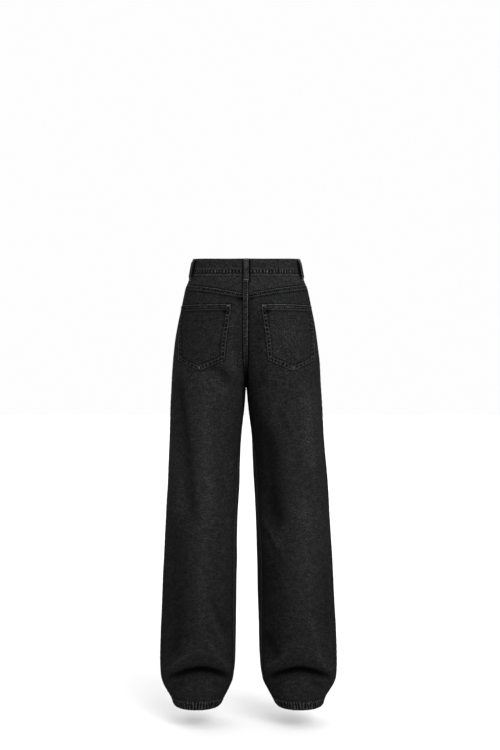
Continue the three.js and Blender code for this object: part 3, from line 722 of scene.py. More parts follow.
def denim(name, depth, rib=0.3, grain=1.45):
    """Washed black twill. Dye adds up, so the colour is e to minus its depth. From the depth come
    grain along the warp and the twill's slant, flecks, clouds, ribs, the wear attribute's real fading
    and kept dye together with its painted shade and painted highlight, a painted contact shadow just
    outside anything sewn on, and what a stitched seam 10 wide shows: a pale folded edge, pale beads
    and dark hollows by turns along its stitches, a pale ridge at its far side with a dark groove past
    it, and ropes where the cloth is roped. The seam's pale beads and ridge are partly real fading and
    partly painted highlight on its gathers; its dark hollows and groove are partly kept dye and partly
    painted shade."""
    n = Nodes(name)
    flat = n.out("ShaderNodeUVMap", dict(uv_map="flat"))
    place = n.out("ShaderNodeTexCoord", output="Object")
    seam = n.out("ShaderNodeUVMap", dict(uv_map="seam"))
    turns, away = n.parts(seam)
    wear, gathered, beside, roped = (n.out("ShaderNodeAttribute", dict(attribute_name=key), "Fac")
                                     for key in ("wear", "gathered", "beside", "roped"))

    warp = n.ramp(n.noise(flat, (600.0, 290.0, 1.0), 1.0, 0.6), 0.3, 0.7)
    slanted = n.out("ShaderNodeVectorRotate", dict(rotation_type="Z_AXIS"), i0=flat, i3=math.radians(32))
    slant = n.ramp(n.noise(slanted, (560.0, 150.0, 1.0), 1.0, 0.5), 0.3, 0.7)
    fleck = n.noise(place, 95.0, 3.0, 0.6)
    cloud = n.noise(place, 8.0, 3.0, 0.55)
    yarn = n.noise(flat, (1000.0, 90.0, 1.0), 1.0, 0.5)
    across, down = n.parts(flat)
    ribs = n.math("PINGPONG", across * 880.0 + down * 580.0, 0.5) * 2.0

    stray = n.noise(seam, (0.9, 0.06, 1.0), 1.0, 0.5)
    wave = n.math("SINE", (turns + stray * 1.2) * (2 * math.pi))
    size = n.noise(seam, (0.37, 0.05, 1.0), 2.0, 0.5) * 1.2 + 0.4
    # Pale beads and dark hollows along a seam: partly the fading and kept dye of real roped seams, partly
    # painted highlight on the gathers and painted shade in their hollows.
    bead = n.ramp(wave, 0.0, 0.9) * size
    hollow = n.ramp(wave * -1.0, -0.1, 0.8) * size
    pale = bead * 1.6 * n.bell(away, 4.6, 1.3)
    pale = pale + n.bell(away, 0.5, 1.2) * 0.62 + n.bell(away, 9.2, 1.3) * (bead * 0.45 + 0.05)
    pale = n.math("MINIMUM", pale * gathered, 1.25) + bead * (roped * 0.55)
    # The dark hollows, the line inside the folded edge and the groove past the far ridge: partly kept dye,
    # partly painted shade.
    dark = (hollow * 0.9 + 0.5) * n.bell(away, 4.6, 1.6)
    dark = dark + n.bell(away, 2.3, 0.8) * 0.4 + n.bell(away, 12.0, 1.7) * (hollow * 0.4 + 0.3)
    dark = dark * gathered + hollow * roped
    # Painted contact shadow just outside anything sewn on.
    under = n.bell(beside, 0.5, 2.3)

    total = n.out("ShaderNodeValue")
    total.socket.default_value = depth
    for value, gain in ((warp, -grain), (slant, -0.45 * grain), (fleck, -1.5), (cloud, -0.4), (yarn, -0.5),
                        (ribs, -rib)):
        total = total + (value - 0.5) * gain
    # The wear attribute is the cloth's real fading and kept dye together with painted shade and painted
    # highlight from folds, breaks, the seat's cleft, the turned-away sides, loops and pockets.
    rubbed = wear * (warp * 0.5 + 0.75)
    total = total + rubbed * -1.0 + pale * -1.4 + dark * 1.35 + under * 1.2
    tone = n.math("EXPONENT", total * -1.0)
    cool = tone * 1.02
    base = n.out("ShaderNodeCombineColor", i0=tone, i1=cool, i2=cool)

    swell = wave * gathered * n.bell(away, 5.0, 4.5) + wave * roped
    height = ribs * 0.12 + yarn * 0.1 + warp * 0.2 + swell * 0.6
    rough = n.math("ADD", 0.88, warp * 0.12, clamp=True)
    return n.surface(base, rough, (height, 1.0, MM),
                     Specular_IOR_Level=0.01, Sheen_Weight=0.002, Sheen_Roughness=0.6)


def thread(name, tone):
    """Spun thread: fine fuzz and a slight colour change."""
    n = Nodes(name)
    fuzz = n.noise(n.out("ShaderNodeTexCoord", output="Object"), 900.0, 2.0, 0.5)
    base = n.blend(fuzz, grey(tone * 0.6), grey(tone * 1.5))
    return n.surface(base, 0.75, (fuzz, 0.4, 0.1 * MM), Sheen_Weight=0.05, Specular_IOR_Level=0.1)


def aged_metal(name):
    """Dark plated metal, cloudy, with paler rubbed patches."""
    n = Nodes(name)
    cloud = n.noise(n.out("ShaderNodeTexCoord", output="Object"), 260.0, 5.0, 0.65)
    rough = n.out("ShaderNodeMapRange", i0=cloud, i1=0.3, i2=0.7, i3=0.28, i4=0.5)
    return n.surface(n.blend(cloud, grey(0.05), grey(0.2)), rough, (cloud, 0.25, 0.1 * MM), Metallic=0.9)


def seamless_floor(name):
    """Matt white studio floor with a trace of unevenness."""
    n = Nodes(name)
    cloud = n.noise(n.out("ShaderNodeTexCoord", output="Object"), 2.0, 2.0, 0.5)
    return n.surface(n.blend(cloud, grey(0.85), grey(0.86)), 0.9)


PANEL_CLOTH = denim("washed black denim", 4.76)
TRIM_CLOTH = denim("washed black denim, trims", 4.70)
INSIDE_CLOTH = denim("black denim, weft side", 2.8, rib=0.9)
LINED = [PANEL_CLOTH, INSIDE_CLOTH]
SEAM_THREAD = thread("grey seam thread", 0.02)
TACK_THREAD = thread("grey bar tack thread", 0.075)
BUTTON_METAL = aged_metal("aged button metal")

# ---------------------------------------------------------------- relief, fading and painted shade

# Two rows of stitches run this far in from an edge, and threads lie this far over the cloth.
STITCH_INSETS = (2.0, 8.4)
ON_CLOTH = 0.05

# Heights of the waistband's two rows of stitches, and of the hem's one over its edge.
BAND_STITCHES, HEM_STITCHES = (-17.5, 18.0), HEM_DEPTH - 1.5

# How strongly the cloth is rubbed pale at a seam's folded edge, and how far in.
SEAM_WEAR = (0.35, 2.5)

# The pocket's foot slopes, so its distance is this share of the drop. Its hem is so deep.
FOOT_SLOPE, MOUTH_HEM = 0.93, 13.5

# The seat seam's strip: half its width, how far its middle is set over to the left, and its top.
SEAT_STRIP, SEAT_OVER, SEAT_TOP = 6.3, 1.9, -30.0

# Painted shade under the yoke beside the seat seam, where four layers meet, on each half.
LAYER_SHADE = {1: dict(arc=13, z=-82, wide=9, high=6, tone=-1.5),
         -1: dict(arc=11, z=-78, wide=4, high=7, tone=-1.0)}

LOOP = dict(width=13.0, thick=1.6, gap=4.8, top=22.0, bottom=-35.0, foot=6.0, rise=4.0, off=0.5)
LOOPS = {"back": 0.0, "side_left": 0.4, "side_right": -0.4, "front_left": 0.82, "front_right": -0.82}


def spaced(*stretches):
    """Heights or shares made of stretches (from, to, step), each evenly divided."""
    parts = [np.linspace(a, b, max(2, int(round(abs(b - a) / step)) + 1))[:-1] for a, b, step in stretches]
    return np.concatenate(parts + [[stretches[-1][1]]])


def edge_heavy(count, edge=0.45):
    """Shares from 0 to 1 that lie closer together at both ends."""
    t = np.linspace(0, 1, count)
    return t * (1 - edge) + smooth(t) * edge


LEG_ROWS = spaced((-330, -960, 5.0), (-960, -1050, 1.8), (-1050, HEM_Z + 26, 3.4), (HEM_Z + 26, HEM_Z, 1.6))
PANEL_COLUMNS = edge_heavy(84)[None, :]


def ridge(x, at, wide, height):
    """A ridge, or a groove if the height is negative: a bell of x about `at`."""
    return height * bell((x - at) / wide)


def raised(x, to, over, height):
    """Cloth raised where x is below `to`: smoothstep over the last bit."""
    return height * smooth((to - x) / over)


def edge_wear(away, strength, reach):
    """Wear that dies away from an edge by one over e to the distance."""
    return strength * np.exp(-np.abs(away) / reach)


def yoke_line(share):
    """Height of the yoke's seam at a share of the way from the centre seam to the side seam."""
    return YOKE_CENTRE_Z + (YOKE_SIDE_Z - YOKE_CENTRE_Z) * (1 - (1 - share) ** YOKE_EASE)


def side_seam_relief(z, away):
    """The side seam: the cloth turns in at it, with a soft ridge of allowance beside it."""
    return ridge(away, 0, 1.5, -0.8) + ridge(away, 6, 4, 0.55) + pucker(-z, away, 17, 12, 0.32, 2)


def hem_relief(z, arc):
    """The hem band: a groove at its stitches, roping across it and a slightly rolled edge."""
    above = z - HEM_Z
    rope = pucker(arc + 0.55 * above, above - HEM_DEPTH / 2, 11.5, 13, 0.75, 1)
    band = raised(above, HEM_DEPTH + 2, 3, 0.55) + ridge(above, HEM_STITCHES, 1.6, -0.9)
    return band + rope + ridge(above, 0, 1.4, -0.5)


def felled_relief(away):
    """Cloth beside a felled seam: raised over its allowance and drawn in at its edge."""
    return raised(away, 7.5, 3, 0.5) + ridge(away, 7, 2.2, -0.45)


def hem_gathers(z, arc):
    """The hem for nearest_seam. No seam is drawn there: it only counts the leaning ropes."""
    above = z - HEM_Z
    return arc + 0.15 * above, above - HEM_DEPTH - 10, 7.8, SEAM_DRAWN, 0.0


def hem_roping(z):
    """How strongly the hem's cloth is roped: all across the band, to just above its stitches."""
    return raised(z - HEM_Z, HEM_DEPTH + 3, 3, 1.15)


def hem_wear(z):
    """The hem is rubbed pale at its folded edge and on the ridge over its stitches."""
    above = z - HEM_Z
    stitched = ridge(above, HEM_DEPTH + 0.5, 1.7, 0.5) + ridge(above, HEM_DEPTH + 6, 2.5, -0.3)
    return 0.4 * np.exp(-above / 2.5) + stitched


def pocket_sides(z):
    """Arc lengths of the pocket's inner and outer edges."""
    down = np.clip((POCKET_TOP - z) / (POCKET_TOP - POCKET_CORNER), 0, 1)
    return [a + (b - a) * down for a, b in (POCKET_INNER, POCKET_OUTER)]


def pocket_bottom(share):
    """Height of the pocket's lower edge: from each corner to the point in the middle."""
    return POCKET_CORNER + (POCKET_POINT - POCKET_CORNER) * (1 - np.abs(2 * share - 1))


def beyond_pocket(z, arc):
    """Distance from the pocket's edge, positive outside it."""
    inner, outer = pocket_sides(z)
    foot = pocket_bottom(np.clip((arc - inner) / (outer - inner), 0, 1))
    return np.maximum.reduce([inner - arc, arc - outer, z - POCKET_TOP, (foot - z) * FOOT_SLOPE])


def back_places(z, arc):
    """Distances on a back panel: from the centre seam or inseam, to the side seam, under the yoke."""
    from_centre, to_side = arc - inseam_arc(z), side_arc(z) - arc
    return from_centre, to_side, yoke_line(from_centre / (from_centre + to_side)) - z


def back_relief(half, z, arc):
    """All seams of a back panel."""
    seed = 0.0 if half > 0 else 2.3
    from_centre, to_side, under_yoke = back_places(z, arc)
    beyond = beyond_pocket(z, arc)
    relief = side_seam_relief(z, to_side) + hem_relief(z, arc)
    relief += raised(under_yoke, 11.2, 1.6, 0.9) + ridge(under_yoke, 0, 1.0, -0.7)
    relief += pucker(arc, under_yoke - 12, 12.5, 9, 0.42, 3 + seed)
    relief += felled_relief(from_centre) + pucker(-z, from_centre - 7, 14, 8, 0.45, 4 + seed)
    return relief + pucker(arc - z, beyond - 2, 15, 9, 0.5, 5 + seed) + ridge(beyond, 1, 1.8, -0.35)


def scoop_down(z):
    """The share of the scooped pocket's depth that a height lies below the waistband."""
    return (BAND_SEAM - z) / SCOOP_DEPTH


def scoop_arc(z):
    """How far the scooped pocket's edge stands from the side seam: a quarter of an ellipse."""
    return SCOOP_WIDTH * np.sqrt(1 - np.clip(scoop_down(z), 0, 1) ** 2)


def scoop_away(z, arc):
    """Millimetres in from the scooped pocket's edge: how much larger the ellipse through a point is."""
    return (np.hypot((arc - side_arc(z)) / SCOOP_WIDTH, scoop_down(z)) - 1) * SCOOP_WIDTH


def front_relief(half, z, arc):
    """All seams of a front panel."""
    seed = 5.1 if half > 0 else 7.7
    to_centre = around(z) + inseam_arc(z) - arc
    from_side = arc - side_arc(z)
    from_scoop = from_side - scoop_arc(z)
    down = scoop_down(z)
    near_scoop = smooth((1.25 - down) * 4) * np.abs(scoop_away(z, arc))
    relief = side_seam_relief(z, np.where(scoop_arc(z) > 0, 40.0, from_side)) + hem_relief(z, arc)
    relief += np.where(down < 1.2, ridge(near_scoop, 1, 2, 0.5), 0)
    relief += np.where(down < 1.15, pucker(-z + arc, from_scoop - 8, 14, 9, 0.35, seed), 0)
    relief += felled_relief(to_centre) * smooth((FLY_POINT_Z - z) / 20)
    relief += pucker(-z, to_centre - 7, 14, 8, 0.4, seed + 1)
    return relief + pucker(arc, BAND_BOTTOM - z - 3, 13, 8, 0.4, seed + 2)


def yoke_relief(half, z, arc):
    """The yoke: gathered under the waistband, pressed flat at its lower seam."""
    above = z - yoke_line(arc / side_arc(z))
    under_band = BAND_BOTTOM - z
    gathers = pucker(arc, under_band - 2, 13, 8, 0.5, 6 + half) + pucker(arc, above, 12.5, 7, 0.35, 2 - half)
    edges = ridge(above, 1.5, 2, 0.5) + ridge(above, 0, 0.8, -0.5)
    return gathers + edges + ridge(under_band, 0, 1.5, -0.4)


def pocket_surface(half, z, share):
    """Arc lengths of points of a patch pocket, and how far its outer face lies over the surface: over
    the panel's relief, thicker in its turned edges and its hemmed mouth, gathered beside its stitches."""
    inner, outer = pocket_sides(z)
    arc = inner + (outer - inner) * share
    away = np.minimum.reduce([arc - inner, outer - arc, (z - pocket_bottom(share)) * FOOT_SLOPE])
    from_top = POCKET_TOP - z
    seed = 1.3 if half > 0 else 3.9
    relief = raised(away, 11, 2.5, 0.55) + raised(from_top, MOUTH_HEM + 2, 2, 0.6)
    relief += pucker(arc + z, away - 8, 14, 8, 0.5, seed) + pucker(arc, from_top - 15, 15, 6, 0.35, seed + 1)
    relief += sum(ridge(away, inset, 0.9, -0.4) for inset in STITCH_INSETS)
    relief += ridge(from_top, MOUTH_HEM, 1.0, -0.35)
    relief += 0.7 * lattice_noise(np.stack([arc, z, z * 0], -1), 34, seed) * smooth(away / 25)
    return arc, back_relief(half, z, arc) + SEAM_GAP + CLOTH + relief


def band_tuck(share, length):
    """How far the waistband's right end is set in, under its left end."""
    return -(BAND_PROUD + BAND_INSIDE + SEAM_GAP) * smooth((length * (-share - 1) + TUCK_FROM) / TUCK_WIDE)


def band_face(z, share, length):
    """The waistband's outer face: gathered above its lower stitches, ridged over its folded edges."""
    along, z = np.broadcast_arrays(share * length, z)
    gathers = pucker(along, z + 15, 13, 5.5, 0.75, 2) + pucker(along, z - 19, 16, 5, 0.22, 4)
    grooves = sum(ridge(z, row, 1.0, deep) for row, deep in zip(BAND_STITCHES, (-0.4, -0.3)))
    return BAND_PROUD + gathers + grooves + 0.35 * lattice_noise(np.stack([along, z * 1.4, z * 0], -1), 24, 5)


# ---------------------------------------------------------------- panels, pockets, hems


def strip_edge(half):
    """How far the seat seam's strip reaches on a half."""
    return SEAT_STRIP + half * SEAT_OVER


def back_panel(half, side):
    """A back leg panel: columns from the centre seam to the side seam, rows that start along the
    yoke and level out."""
    share = PANEL_COLUMNS
    upper = YOKE_SIDE_Z - spaced((0, 16, 0.9), (16, 70, 2.4), (70, 265, 2.6), (265, 288, 2.6))[:-1]
    rows = np.concatenate([upper, LEG_ROWS])[:, None]
    z = rows + (yoke_line(share) - HALF_GAP - YOKE_SIDE_Z) * smooth(1 - (YOKE_SIDE_Z - rows) / 150)
    arc = (inseam_arc(z) + HALF_GAP) * (1 - share) + (side_arc(z) - HALF_GAP) * share
    from_centre, to_side, under_yoke = back_places(z, arc)
    outseam = 0.5 + (0.9 if half < 0 else 0.3) * smooth((-480 - z) / 120)
    seam = nearest_seam((arc - 0.5 * under_yoke, under_yoke, 5.3, 11.0, 1.6),
                        (-z, to_side, 11.0, 12.0, outseam), hem_gathers(z, arc))
    layer_shade = LAYER_SHADE[half]
    wear = edge_wear(to_side, *SEAM_WEAR) + hem_wear(z) + tone_at(half, z, arc)
    # Painted shade where four layers meet under the yoke.
    wear = wear + ridge(arc, layer_shade["arc"], layer_shade["wide"], layer_shade["tone"]) * bell((z - layer_shade["z"]) / layer_shade["high"])
    # Painted shade along the seat strip's edge, far darker on the right half.
    wear = wear + ridge(from_centre, strip_edge(half), 2.6, -0.2 if half > 0 else -0.9) * (z > CROTCH_Z)
    beyond = beyond_pocket(z, arc)
    # beside: for the painted contact shadow outside the pocket and along the seat strip.
    beside = np.minimum(np.where(beyond > 0, beyond, FAR),
                        np.abs(from_centre - strip_edge(half)) + 2 * (z < CROTCH_Z))
    return panel_piece(f"back_{side}", half, z, arc, back_relief(half, z, arc), LINED,
                       wear=wear, seam=seam, beside=beside, roped=hem_roping(z))


def front_panel(half, side):
    """A front leg panel: columns from the side seam, or the scooped pocket's edge, to the centre."""
    share = PANEL_COLUMNS
    scoop_rows = BAND_SEAM - SCOOP_DEPTH * np.sin(np.radians(np.linspace(0, 90, 40)))
    upper = np.concatenate([scoop_rows[:-1], spaced((scoop_rows[-1], LEG_ROWS[0], 2.8))[:-1]])
    z = np.concatenate([upper, LEG_ROWS])[:, None] + 0 * share
    edge = side_arc(z) + HALF_GAP + scoop_arc(z)
    centre = around(z) + inseam_arc(z) - HALF_GAP
    arc = edge * (1 - share) + centre * share
    scooped = scoop_arc(z) > 0
    from_edge = np.where(scooped, scoop_away(z, arc), arc - edge)
    seam = nearest_seam((np.where(scooped, arc, -z), from_edge, 9.5, 12.0, np.where(scooped, 1.0, 0.5)),
                        hem_gathers(z, arc))
    wear = edge_wear(from_edge, *SEAM_WEAR) + hem_wear(z) + tone_at(half, z, arc)
    under_fly = centre - arc - FLY_WIDTH if half > 0 else FAR + 0 * arc
    # beside: for the painted contact shadow outside the fly and along the front crotch seam's strip.
    beside = np.where(z > FLY_POINT_Z, np.where(under_fly > 0, under_fly, FAR), np.abs(centre - arc - 6))
    return panel_piece(f"front_{side}", half, z, arc, front_relief(half, z, arc), LINED,
                       wear=wear, seam=seam, beside=beside, roped=hem_roping(z))


def yoke(half, side):
    """A yoke: columns shared with the back panel, rows from the waistband to the V seam."""
    share, down = PANEL_COLUMNS, edge_heavy(26)[:, None]
    z = BAND_SEAM * (1 - down) + (yoke_line(share) + HALF_GAP) * down
    arc = HALF_GAP * (1 - share) + (side_arc(z) - HALF_GAP) * share
    off_loop = np.maximum(np.abs(arc) - LOOP["width"] / 2, LOOP["bottom"] - z)
    # Painted shade round the foot of the centre back loop.
    wear = edge_wear(side_arc(z) - arc, *SEAM_WEAR) + ridge(off_loop, 0, 3.2, -1.2)
    # The yoke is paler, and its right half paler still as painted light from the right.
    wear = wear + (0.16 if half > 0 else 0.26)
    # beside: for the painted shade along the yoke's seam and the seat strip, round the loop and under the
    # waistband.
    beside = np.minimum.reduce([z - yoke_line(share), np.abs(arc - strip_edge(half)), np.maximum(off_loop, 0),
                                BAND_BOTTOM - z + 2.6])
    return panel_piece(f"yoke_{side}", half, z, arc, yoke_relief(half, z, arc), LINED,
                       wear=wear, beside=beside)


def back_pocket(half, side):
    """A patch pocket: columns across it, rows from its mouth to its pointed foot."""
    share, down = edge_heavy(64)[None, :], edge_heavy(70, 0.3)[:, None]
    z = POCKET_TOP * (1 - down) + pocket_bottom(share) * down
    arc, out = pocket_surface(half, z, share)
    foot = (z - pocket_bottom(share)) * FOOT_SLOPE
    inner, outer = pocket_sides(z)
    from_top = POCKET_TOP - z
    seam = nearest_seam((-z, arc - inner, 10.4, 10.5, 1.1), (-z, outer - arc, 10.4, 14.0, 1.9),
                        (arc, foot, 9.5, 10.0, 1.1), (arc, from_top, 4.6, 7.5, 2.2))
    # The left pocket darker as painted shade away from the light; painted shade under its inner top corner
    # and under its mouth's hemmed edge, a pale line along that hem, and the hem paler on the right half as
    # painted light.
    wear = tone_at(half, z, arc) - (0.23 if half > 0 else 0.06)
    wear = wear + ridge(from_top, 17, 5, -1.3) * bell((arc - inner - 11) / 8)
    wear = wear + ridge(from_top, 11.2, 1.5, 0.4) + ridge(from_top, 16, 1.7, -0.85)
    wear = wear + raised(from_top, 15, 2, 0.12 if half < 0 else 0.04)
    return panel_piece(f"pocket_{side}", half, z, arc, out, [TRIM_CLOTH, INSIDE_CLOTH], "denim_pocket",
                       wear=wear, seam=seam)


def pocket_facing(half, side):
    """The cloth behind a scooped pocket: from the side seam to a little past the pocket's edge, and
    from its foot to a little way up behind the waistband."""
    share = np.linspace(0, 1, 40)[None, :]
    z = spaced((BAND_BOTTOM + FACING_CAUGHT, FACING_FOOT, 2.5))[:, None] + 0 * share
    start = side_arc(z) + HALF_GAP
    arc = start + (scoop_arc(z) + 9) * share
    inwards = np.maximum(smooth((arc - start) / 8), smooth((z - BAND_BOTTOM + 6) / 5))
    # beside: for the painted contact shadow along the scooped pocket's edge.
    return panel_piece(f"pocket_facing_{side}", half, z, arc, -SEAM_GAP - CLOTH - 1.1 * inwards, [TRIM_CLOTH],
                       beside=np.abs(scoop_away(z, arc)))


def hem_turn_up(half, side):
    """The hem's inner layer: a closed band that starts at the folded edge and runs up inside."""
    z = spaced((HEM_Z + HEM_DEPTH, HEM_Z, 2.0))[:, None]
    arc = np.linspace(0, 1, 190, endpoint=False)[None, :] * around(z)
    points, _ = spots(half, z, arc, hem_relief(z, arc) - SEAM_GAP - CLOTH - 0.4)
    z, arc = np.broadcast_arrays(z, arc)
    layers = cloth_layers(np.stack([arc, z], -1), edge_wear(z - HEM_Z, 0.8, 2.5))
    faces = quads(*z.shape, closed=True, flip=half < 0)
    piece = make_piece(f"hem_{side}_cloth", points, faces, [INSIDE_CLOTH], layers)
    thicken(piece)
    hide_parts(f"hem_{side}")
    return piece


# ---------------------------------------------------------------- felled seams, fly, waistband

# The seam strips' thickness and how high the stitches on them lie.
STRIP_THICK, STRIP_FACE = 0.9, SEAM_GAP + CLOTH * 0.5 + 0.6
FLY_THICK, BAND_ROUND = 1.2, 1.6

# Half of the waistband's length, along its lower edge.
BAND_LENGTH = float(around(np.array(BAND_BOTTOM)))

# Bar tacks of a pocket: height, share across, which way the bar runs (down, across) and its length.
POCKET_TACKS = ((-98, 0.035, (0, 0.01), 8), (-98, 0.965, (0, 0.01), 8), (-254, 0.5, (1, 0), 6))


def seam_arc(z, across, half, front):
    """Arc length of a place across a seam. half is None for the centre seam, behind or in front, which
    crosses both halves; otherwise it is the half whose inseam is meant."""
    if half is None:
        return around(z) - np.abs(across) if front else np.abs(across)
    return np.mod(inseam_arc(z) + across, around(z))


def seam_path(z, offset, half=None, front=False):
    """A row of stitches beside a seam's middle line, on its strip."""
    side = half or (1 if offset >= 0 else -1)
    return spots(side, z, seam_arc(z, offset, half, front), STRIP_FACE)


def felled_seam(name, z, half_width, half=None, front=False, over=0.0):
    """A felled seam's strip: a slightly crowned band along a seam, its middle set `over` to the left."""
    place, z = np.meshgrid(np.linspace(-1, 1, 15), z)
    across = place * half_width + over
    arc = seam_arc(z, across, half, front)
    crown = SEAM_GAP + CLOTH * 0.5 + 0.55 - 0.45 * np.abs(place) ** 6
    crown = crown + pucker(-z, (np.abs(place) - 1) * half_width, 12, 5, 0.3, 3)
    left, right = spots(1, z, arc, crown)[0], spots(-1, z, arc, crown)[0]
    on_left = across >= 0 if half is None else half > 0
    points = np.where(np.broadcast_to(on_left, z.shape)[..., None], left, right)
    tone = tone_at(half or 1, z, arc)
    seam = (-z / 4.8, half_width * (1 - np.abs(place)) / 1.3, 0.5)
    if half is None and not front:
        # Paler where the seat strip runs under the yoke's seam: fading on the thick lump there and painted
        # highlight on it.
        tone = tone + ridge(z, YOKE_CENTRE_Z - 3, 7, 0.5)
        seam = (-z / 4.8, 4.6 + (across - 2.6) / 1.27, 1.1)
    layers = cloth_layers(np.stack([across, z], -1), tone, seam)
    flip = front or half == -1
    return cloth_piece(name, None, points, layers, [TRIM_CLOTH], flip, STRIP_THICK)


def fly_flap():
    """The fly: a flap on the left front, straight along the centre and rounded into a J below."""
    share, down = edge_heavy(22)[None, :], np.linspace(0, 1, 60)[:, None]
    reach = np.sqrt(np.clip(1 - share ** 2, 0, 1))
    bottom = FLY_SIDE_Z + (FLY_POINT_Z - FLY_SIDE_Z) * reach
    z = BAND_SEAM * (1 - down) + bottom * down
    wide = FLY_WIDTH * share
    arc = around(z) - HALF_GAP - wide
    out = front_relief(1, z, arc) + SEAM_GAP + FLY_THICK + ridge(wide, 0, 1.5, -0.5)
    return panel_piece("fly", 1, z, arc, out, [TRIM_CLOTH], thick=FLY_THICK, turned=True,
                       wear=edge_wear(wide, 0.5, 1.8), seam=(-z / 9, FLY_WIDTH - wide, 0.9))


def waistband():
    """The waistband: a flattened loop of cloth carried round the waist, its right end under its left.
    The profile runs down the outer face, under, up the inner face and over the top."""
    length = BAND_LENGTH
    share = np.linspace(-1 - BAND_UNDERLAP / length, 1 + BAND_OVERLAP / length, 360)[:, None]
    outside = np.linspace(BAND_TOP - BAND_ROUND, BAND_BOTTOM + 0.2, 26)
    inside = outside[::-3] + 0.4
    turn = np.radians(np.linspace(0, 180, 7)[1:-1])
    over_top = BAND_TOP - BAND_ROUND + BAND_ROUND * np.sin(turn)
    z = np.concatenate([outside, outside[[-1]] - 0.2, inside, over_top])[None, :]
    outer = np.concatenate([outside * 0 + 1, [0.5], inside * 0, (1 - np.cos(turn)) / 2])[None, :]
    out = band_face(z, share, length) * outer - BAND_INSIDE * (1 - outer) + band_tuck(share, length)
    points, _ = trunk_spots(z, share, out)
    share, z, outer = np.broadcast_arrays(share, z, outer)
    along = share * length
    off_loop = np.minimum.reduce([np.abs(along - loop * length) for loop in LOOPS.values()])
    off_loop = off_loop - LOOP["width"] / 2
    # beside: for the painted contact shadow beside the belt loops.
    beside = np.where(outer > 0.5, np.maximum(off_loop, 0), FAR)
    wear = edge_wear(BAND_TOP - z, 0.3, 1.8) + 0.04 + ridge(z, -3.6, 1.6, 0.5) + ridge(z, -12, 1.6, 0.12)
    # Painted shade beside the belt loops, deeper on the right half, and the left half a little darker as
    # painted shade away from the light.
    wear = wear - (1.2 + 0.8 * (along < 0)) * bell(off_loop / 3.6) - 0.07 * (share > 0)
    seam = (along / 8.6, (z + 21) * 0.42, 0.8 * outer * smooth((1 - z) / 4))
    layers = cloth_layers(np.stack([along, z + 60 * (1 - outer)], -1), wear * outer, seam, beside)
    piece = make_piece("waistband_cloth", points, capped(*z.shape), [TRIM_CLOTH], layers)
    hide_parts("waistband")
    return piece


def loop_path(share, count=44):
    """A belt loop's middle line and side and outward vectors: flat feet on the band's top and under
    its seam, and a bow between them, rounded by a running mean."""
    top, foot, bottom, gap, off = (LOOP[key] for key in ("top", "foot", "bottom", "gap", "off"))
    reach = foot + LOOP["rise"]
    knots = np.array([
        (top, BAND_PROUD + off), (top - foot, BAND_PROUD + off), (top - reach, BAND_PROUD + gap),
        (0, BAND_PROUD + gap + 0.4), (bottom + reach, BAND_PROUD + gap),
        (bottom + foot, off + 0.6), (bottom, off + 0.4)])
    along = np.concatenate(([0], np.cumsum(np.hypot(*np.diff(knots, axis=0).T))))
    t = np.linspace(0, along[-1], count)
    z, out = (np.interp(t, along, knots[:, k]) for k in (0, 1))
    smoothed = np.convolve(np.pad(out, 2, mode="edge"), np.ones(5) / 5, mode="valid")
    out = np.maximum(smoothed, np.where(z > BAND_BOTTOM, BAND_PROUD + 0.3, 0.4))
    centres, normals = trunk_spots(z, share, out)
    step = trunk_spots(np.zeros(1), share + 0.01)[0] - trunk_spots(np.zeros(1), share - 0.01)[0]
    side = np.broadcast_to(unit(step), centres.shape)
    outs = unit(np.cross(unit(np.gradient(centres, axis=0)), side))
    return centres, side, outs * np.sign(np.sum(outs * normals, -1, keepdims=True))


def belt_loop(name, share):
    """A belt loop: a flat profile with rounded edges and a slight crown, carried along its path."""
    width, thick = LOOP["width"], LOOP["thick"]
    centres, side, outs = loop_path(share)
    turn = np.linspace(0, 2 * math.pi, 28, endpoint=False)
    across = np.sign(np.cos(turn)) * np.abs(np.cos(turn)) ** 0.35 * width / 2
    height = thick / 2 * (1 + np.sign(np.sin(turn)) * np.abs(np.sin(turn)) ** 0.4)
    height = height + 0.15 * np.cos(across / 2.1) * (height > thick / 2)
    points = centres[:, None] + across[:, None] * side[:, None] + height[:, None] * outs[:, None]
    across, z = np.broadcast_arrays(across[None, :], centres[:, 2, None])
    from_edge = width / 2 - np.abs(across)
    # The loop is paler than the band, with pale edges from fading and a pale middle on its crown that is
    # partly painted highlight; a line of painted shade runs just inside each edge, its upper part is paler
    # and it is darker around 6 below the middle.
    loop_wear_and_shading = ridge(across, 0, 1.4, 0.45) + ridge(from_edge, 0, 1.3, 0.25) + ridge(from_edge, 3, 1.2, -0.3)
    loop_wear_and_shading = loop_wear_and_shading + 0.18 * smooth((z + 2) / 8) + ridge(z, -6, 3.5, -0.25)
    layers = cloth_layers(np.stack([across, z], -1), loop_wear_and_shading + 0.38)
    flip = np.sum(np.cross(side[0], outs[0]) * (centres[1] - centres[0])) > 0
    faces = capped(*z.shape, flip=flip)
    piece = make_piece(f"belt_loop_{name}_cloth", points, faces, [TRIM_CLOTH], layers)
    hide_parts(f"belt_loop_{name}")
    return piece


# Distance from the axis and height: a domed rim round a dished face with a raised ring.
BUTTON_PROFILE = np.array([
    (0, 0.2), (6.9, 0.2), (8.2, 0.7), (8.5, 1.6), (8.2, 2.6), (7.6, 3.2), (6.9, 3.3), (6.3, 3.0),
    (6.0, 2.6), (4.4, 2.5), (4.1, 2.75), (3.7, 2.75), (3.4, 2.5), (1.6, 2.55), (0, 2.6)])


